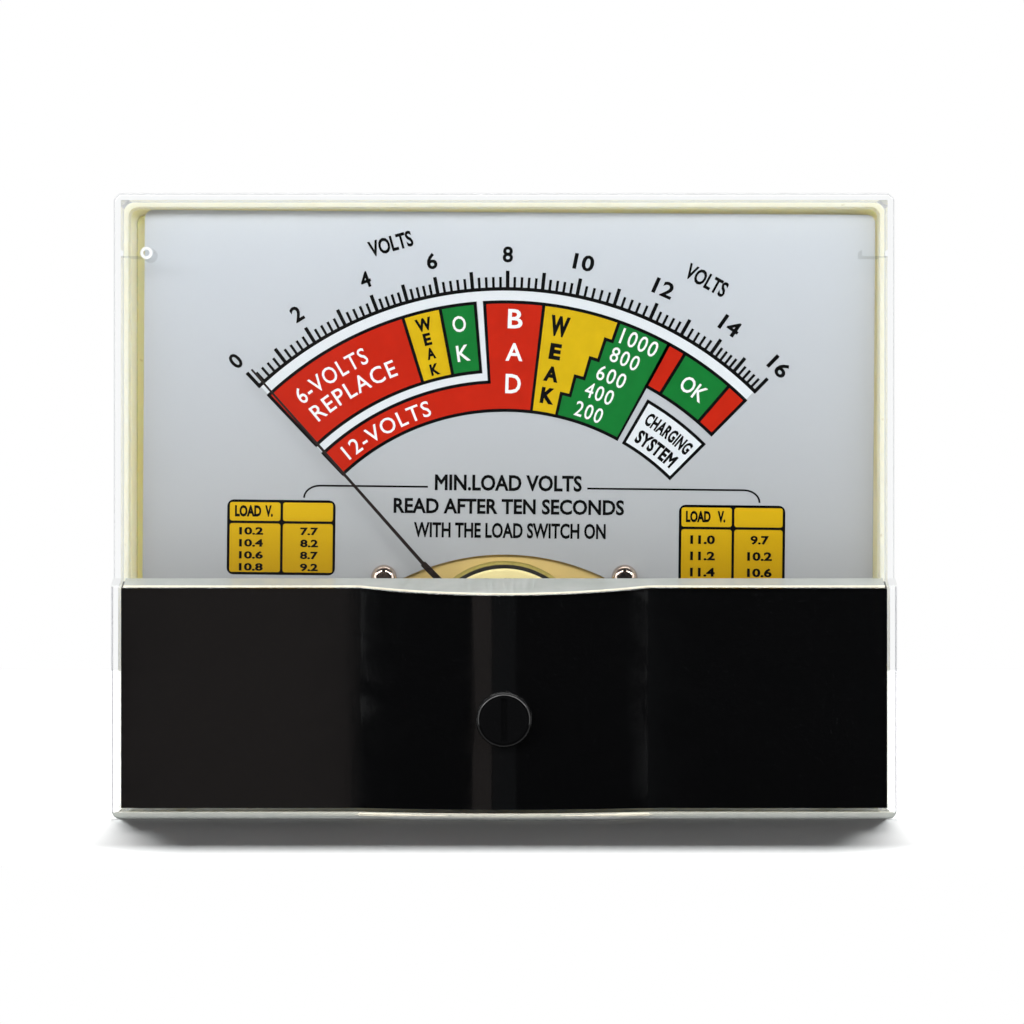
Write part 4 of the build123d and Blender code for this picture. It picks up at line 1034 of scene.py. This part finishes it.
def threaded_rows(centre, outer, pitch, start, end, columns=28):
    """Rows of a screw thread along Y, its crests at the outer radius and its ends chamfered."""
    depth = 0.54 * pitch
    rows_per_turn = 6
    steps = ceil((end - start) / pitch * rows_per_turn)
    rows = []
    for r in range(steps + 1):
        y = start + (end - start) * r / steps
        from_end = max(min(y - start, end - y), 0.0)
        row = []
        for c in range(columns):
            share = c / columns
            phase = (y / pitch - share) % 1.0
            cut = depth * (1 - abs(2 * phase - 1))
            radius = min(outer - cut, outer - depth + from_end + 0.1)
            row.append(about(centre, radius, 2 * pi * share, y))
        rows.append(row)
    return rows


def hexagon_radius(angle, across_flats):
    """Distance from the middle of a hexagon to its edge at an angle."""
    sixth = pi / 3
    return across_flats / 2 / cos((angle % sixth) - sixth / 2)


def nut_rows(centre, across_flats, bore, start, end, columns=48):
    """Rows of a chamfered hexagonal nut along Y, round its section and back to the first row."""
    chamfer = 0.96 * across_flats / 2
    rows = [circle_row(centre, bore, start, columns), circle_row(centre, chamfer, start, columns)]
    for y, inward in ((start, 1), (end, -1)):
        row = []
        for c in range(columns):
            angle = 2 * pi * c / columns
            radius = hexagon_radius(angle, across_flats)
            cut = (radius - chamfer) * tan(radians(30))
            row.append(about(centre, radius, angle, y + inward * cut))
        rows.append(row)
    rows.append(circle_row(centre, chamfer, end, columns))
    rows.append(circle_row(centre, bore, end, columns))
    rows.append(rows[0])
    return rows


def mounting_stud_pieces(materials):
    """M3 studs with real threads behind the base, on their smooth shanks and round heads."""
    shape = Shape()
    for x in (-STUD_X, STUD_X):
        for z in (-STUD_Z, STUD_Z):
            centre = (x, z)
            shape.grid(threaded_rows(centre, STUD_THREAD_RADIUS, STUD_PITCH, 0.02, STUD_END))
            shape.grid([circle_row(centre, radius, y) for radius, y in STUD_HEAD])
    made = shape.piece("threaded_mounting_studs", "case", "steel", materials["steel"], smooth=True)
    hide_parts("mounting_studs")


def terminal_pieces(materials):
    """M5 terminal studs with real threads, and chamfered nuts."""
    studs, nuts = Shape(), Shape()
    low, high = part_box("terminal_nuts")
    nut_start, nut_end = low.y / MM, high.y / MM
    head_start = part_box("terminal_studs")[0].y / MM
    head_end = head_start + TERMINAL_HEAD
    for x in (-TERMINAL_X, TERMINAL_X):
        centre = (x, TERMINAL_Z)
        thread = (TERMINAL_THREAD_RADIUS, TERMINAL_PITCH, nut_end + 0.01, TERMINAL_END)
        studs.grid(threaded_rows(centre, *thread, columns=36))
        core = (head_end - 0.2, nut_end + 0.2)
        studs.grid([circle_row(centre, TERMINAL_CORE_RADIUS, y, columns=36) for y in core])
        head = nut_rows(centre, NUT_ACROSS_FLATS, TERMINAL_HEAD_BORE, head_start, head_end)
        studs.grid(head, closed_ends=False)
        nut = nut_rows(centre, NUT_ACROSS_FLATS, NUT_BORE, nut_start, nut_end)
        nuts.grid(nut, closed_ends=False)
    made = studs.piece("threaded_terminal_studs", "case", "brass", materials["brass"], smooth=True)
    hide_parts("terminal_studs")
    made = nuts.piece("chamfered_terminal_nuts", "case", "brass", materials["brass"], smooth=True)
    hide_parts("terminal_nuts")


def coil_turns(materials):
    """Round copper wire laid turn by turn on the former, in the coil's own tilted plane."""
    tilt = radians(COIL_TILT)
    axis = Vector((sin(tilt), 0, cos(tilt)))
    low = (WIRE_RADIUS - COIL_HALF_WIDTH, COIL_FRONT + WIRE_RADIUS)
    high = (COIL_HALF_WIDTH - WIRE_RADIUS, COIL_BACK - WIRE_RADIUS)
    outline = rounded_corners(low, high, COIL_CORNER)
    half_depth = COIL_HALF_DEPTH - WIRE_RADIUS
    shape = Shape()
    for turn in range(COIL_TURNS):
        middle = Vector((0, 0, PIVOT_Z)) + axis * half_depth * (2 * turn / (COIL_TURNS - 1) - 1)
        path = [middle + Vector((across * cos(tilt), y, -across * sin(tilt))) for across, y in outline]
        tube(shape, path, WIRE_RADIUS, axis, closed=True)
    shape.piece("coil_wire_turns", "moving_coil", "copper", materials["copper"], smooth=True)


def resistor_bands(materials):
    """Four colour rings on the resistor, the outer two on its thicker ends."""
    middle_x, middle_y, middle_z = RESISTOR_MIDDLE
    turns = [2 * pi * c / 32 for c in range(32)]
    for index, (offset, outer, inked) in enumerate(RINGS):
        inner = outer - RING_DEPTH
        start, end = middle_x + offset - RING_HALF_WIDTH, middle_x + offset + RING_HALF_WIDTH
        rows = []
        for x, radius in ((start, inner), (start, outer), (end, outer), (end, inner)):
            rows.append([(x, middle_y + radius * cos(t), middle_z + radius * sin(t)) for t in turns])
        shape = Shape()
        shape.grid(rows)
        shape.piece(f"resistor_ring_{index + 1}", "case", "resistor_body", materials[inked], smooth=True)


def terminal_signs(materials):
    """Raised plus and minus moulded on the can's end wall beside the terminals."""
    shape = Shape()
    for x, outline in ((TERMINAL_X, plus_outline()), (-TERMINAL_X, minus_outline())):
        back = [(x + u, CAN_END - 0.05, SIGN_Z + v) for u, v in outline]
        front = [(x + u * SIGN_TAPER, CAN_END + SIGN_RISE, SIGN_Z + v * SIGN_TAPER) for u, v in outline]
        shape.slab(back, front)
    shape.piece("terminal_signs", "case", "cream_plastic", materials["cream_plastic"])


def minus_outline():
    long, thin = SIGN_LENGTH / 2, SIGN_WIDTH / 2
    return [(-long, -thin), (long, -thin), (long, thin), (-long, thin)]


def plus_outline():
    long, thin = SIGN_LENGTH / 2, SIGN_WIDTH / 2
    quarter = [(-long, -thin), (-thin, -thin), (-thin, -long)]
    points = []
    for _ in range(4):
        points += quarter
        quarter = [(-z, x) for x, z in quarter]
    return points


# -------- studio


def aim(obj, target):
    """Turn a lamp or camera so that it looks at a point."""
    direction = Vector(target) - obj.location
    obj.rotation_euler = direction.to_track_quat("-Z", "Y").to_euler()


def area_lamp(name, place, size, radiance, lit, target=(0, 0, 0), tint=(1.0, 1.0, 1.0)):
    """Rectangular soft light whose surface has a given brightness, and which lights one collection."""
    lamp = bpy.data.lights.new(name, "AREA")
    lamp.shape = "RECTANGLE"
    lamp.size, lamp.size_y = size
    lamp.energy = radiance * pi * size[0] * size[1]
    lamp.color = tint
    holder = new_object(name, lamp)
    holder.location = place
    aim(holder, target)
    holder.light_linking.receiver_collection = lit


def studio_world():
    """A pale tent, dark only in the opening that the front faces; the camera sees it all white."""
    world = bpy.data.worlds.new("tent")
    bpy.context.scene.world = world
    world.use_nodes = True
    nodes, links = world.node_tree.nodes, world.node_tree.links
    background = nodes["Background"]
    facing = nodes.new("ShaderNodeVectorMath")
    facing.operation = "DOT_PRODUCT"
    links.new(nodes.new("ShaderNodeTexCoord").outputs["Generated"], facing.inputs[0])
    facing.inputs[1].default_value = (0, -1, 0)
    opening = nodes.new("ShaderNodeMapRange")
    opening.interpolation_type = "SMOOTHSTEP"
    opening.inputs["From Min"].default_value = -0.1
    opening.inputs["From Max"].default_value = 0.8
    opening.inputs["To Min"].default_value = TENT_BRIGHTNESS
    opening.inputs["To Max"].default_value = OPENING_BRIGHTNESS
    links.new(facing.outputs["Value"], opening.inputs["Value"])
    seen = nodes.new("ShaderNodeLightPath").outputs["Is Camera Ray"]
    strength = nodes.new("ShaderNodeMix")
    strength.data_type = "FLOAT"
    factor, lighting, backdrop = strength.inputs[0], strength.inputs[2], strength.inputs[3]
    backdrop.default_value = 1.0
    links.new(seen, factor)
    links.new(opening.outputs["Result"], lighting)
    links.new(strength.outputs[0], background.inputs["Strength"])
    background.inputs["Color"].default_value = (1, 1, 1, 1)


def studio_floor(level):
    """Pale floor under the case, lit white by its own lamp."""
    mesh = bpy.data.meshes.new("floor")
    (left, front), (right, back) = FLOOR_CORNERS
    corners = [(left, front, level), (right, front, level), (right, back, level), (left, back, level)]
    mesh.from_pydata(corners, [], [(0, 1, 2, 3)])
    floor = new_object("floor", mesh)
    made = basic("floor_white", (0.25, 0.25, 0.25, 1), 0.01, 400.0, (0.5, 0.6), 0.0)
    mesh.materials.append(made.material)
    floor.visible_glossy = False
    return floor


def light_group(name, objects):
    """A collection that lamps may be limited to."""
    group = bpy.data.collections.new(name)
    for obj in objects:
        group.objects.link(obj)
    return group


def studio(level):
    """Floor, tent, lamps and the colour transform."""
    meshes = [obj for obj in bpy.context.scene.objects if obj.type == "MESH"]
    pieces = light_group("pieces", meshes)
    floor = light_group("floor_only", [studio_floor(level)])
    studio_world()
    area_lamp("front_top", (0, -0.35, 0.14), (0.6, 0.08), 9.0, pieces, target=(0, 0, 0.03))
    area_lamp("front_left", (-0.75, -0.55, 0.12), (0.5, 0.7), 2.0, pieces)
    area_lamp("front_right", (0.75, -0.55, 0.12), (0.5, 0.7), 1.7, pieces)
    area_lamp("overhead", (0, 0.1, 0.8), (1.0, 0.5), 3.2, pieces)
    area_lamp("back_right", (0.55, 0.6, 0.45), (0.5, 0.5), 0.8, pieces)
    area_lamp("floor_wash", (0, 1.5, 2.1), (0.8, 0.54), 325.0, floor)
    # two dim cards in front give the black band its warm and its cool streak
    left, warm, cool = -0.098, (1.0, 0.86, 0.8), (0.9, 0.95, 1.0)
    area_lamp("card_left", (left, -0.9, 0), (0.085, 0.4), 0.16, pieces, target=(left, 0, 0), tint=warm)
    area_lamp("card_middle", (0, -0.9, 0), (0.1, 0.4), 0.04, pieces, tint=cool)
    bpy.context.scene.view_settings.view_transform = "Standard"


def camera():
    """Level view onto the front from about half a metre."""
    data = bpy.data.cameras.new("camera")
    data.sensor_width = 36.0
    data.lens = CAMERA_LENS
    data.clip_start = 0.01
    holder = new_object("camera", data)
    holder.location = CAMERA_PLACE
    holder.rotation_euler = (pi / 2, 0, 0)
    bpy.context.scene.camera = holder


# -------- assembly


def finish_cad_nodes(materials):
    """Each CAD node takes its own material where it has one, else its slot's."""
    slots = {part["node"]: part["material_slot"] for part in frame["record"]["subparts"]}
    for name, node in frame["nodes"].items():
        node.data.materials.clear()
        node.data.materials.append(materials.get(name) or materials[slots[name]])


made_materials = make_materials()
camera()
finish_cad_nodes(made_materials)
print_dial(made_materials)
band_beads(made_materials)
cover_outline(made_materials)
rib_post_ring(made_materials)
mounting_stud_pieces(made_materials)
terminal_pieces(made_materials)
coil_turns(made_materials)
resistor_bands(made_materials)
terminal_signs(made_materials)
studio(cad_box[0][2])
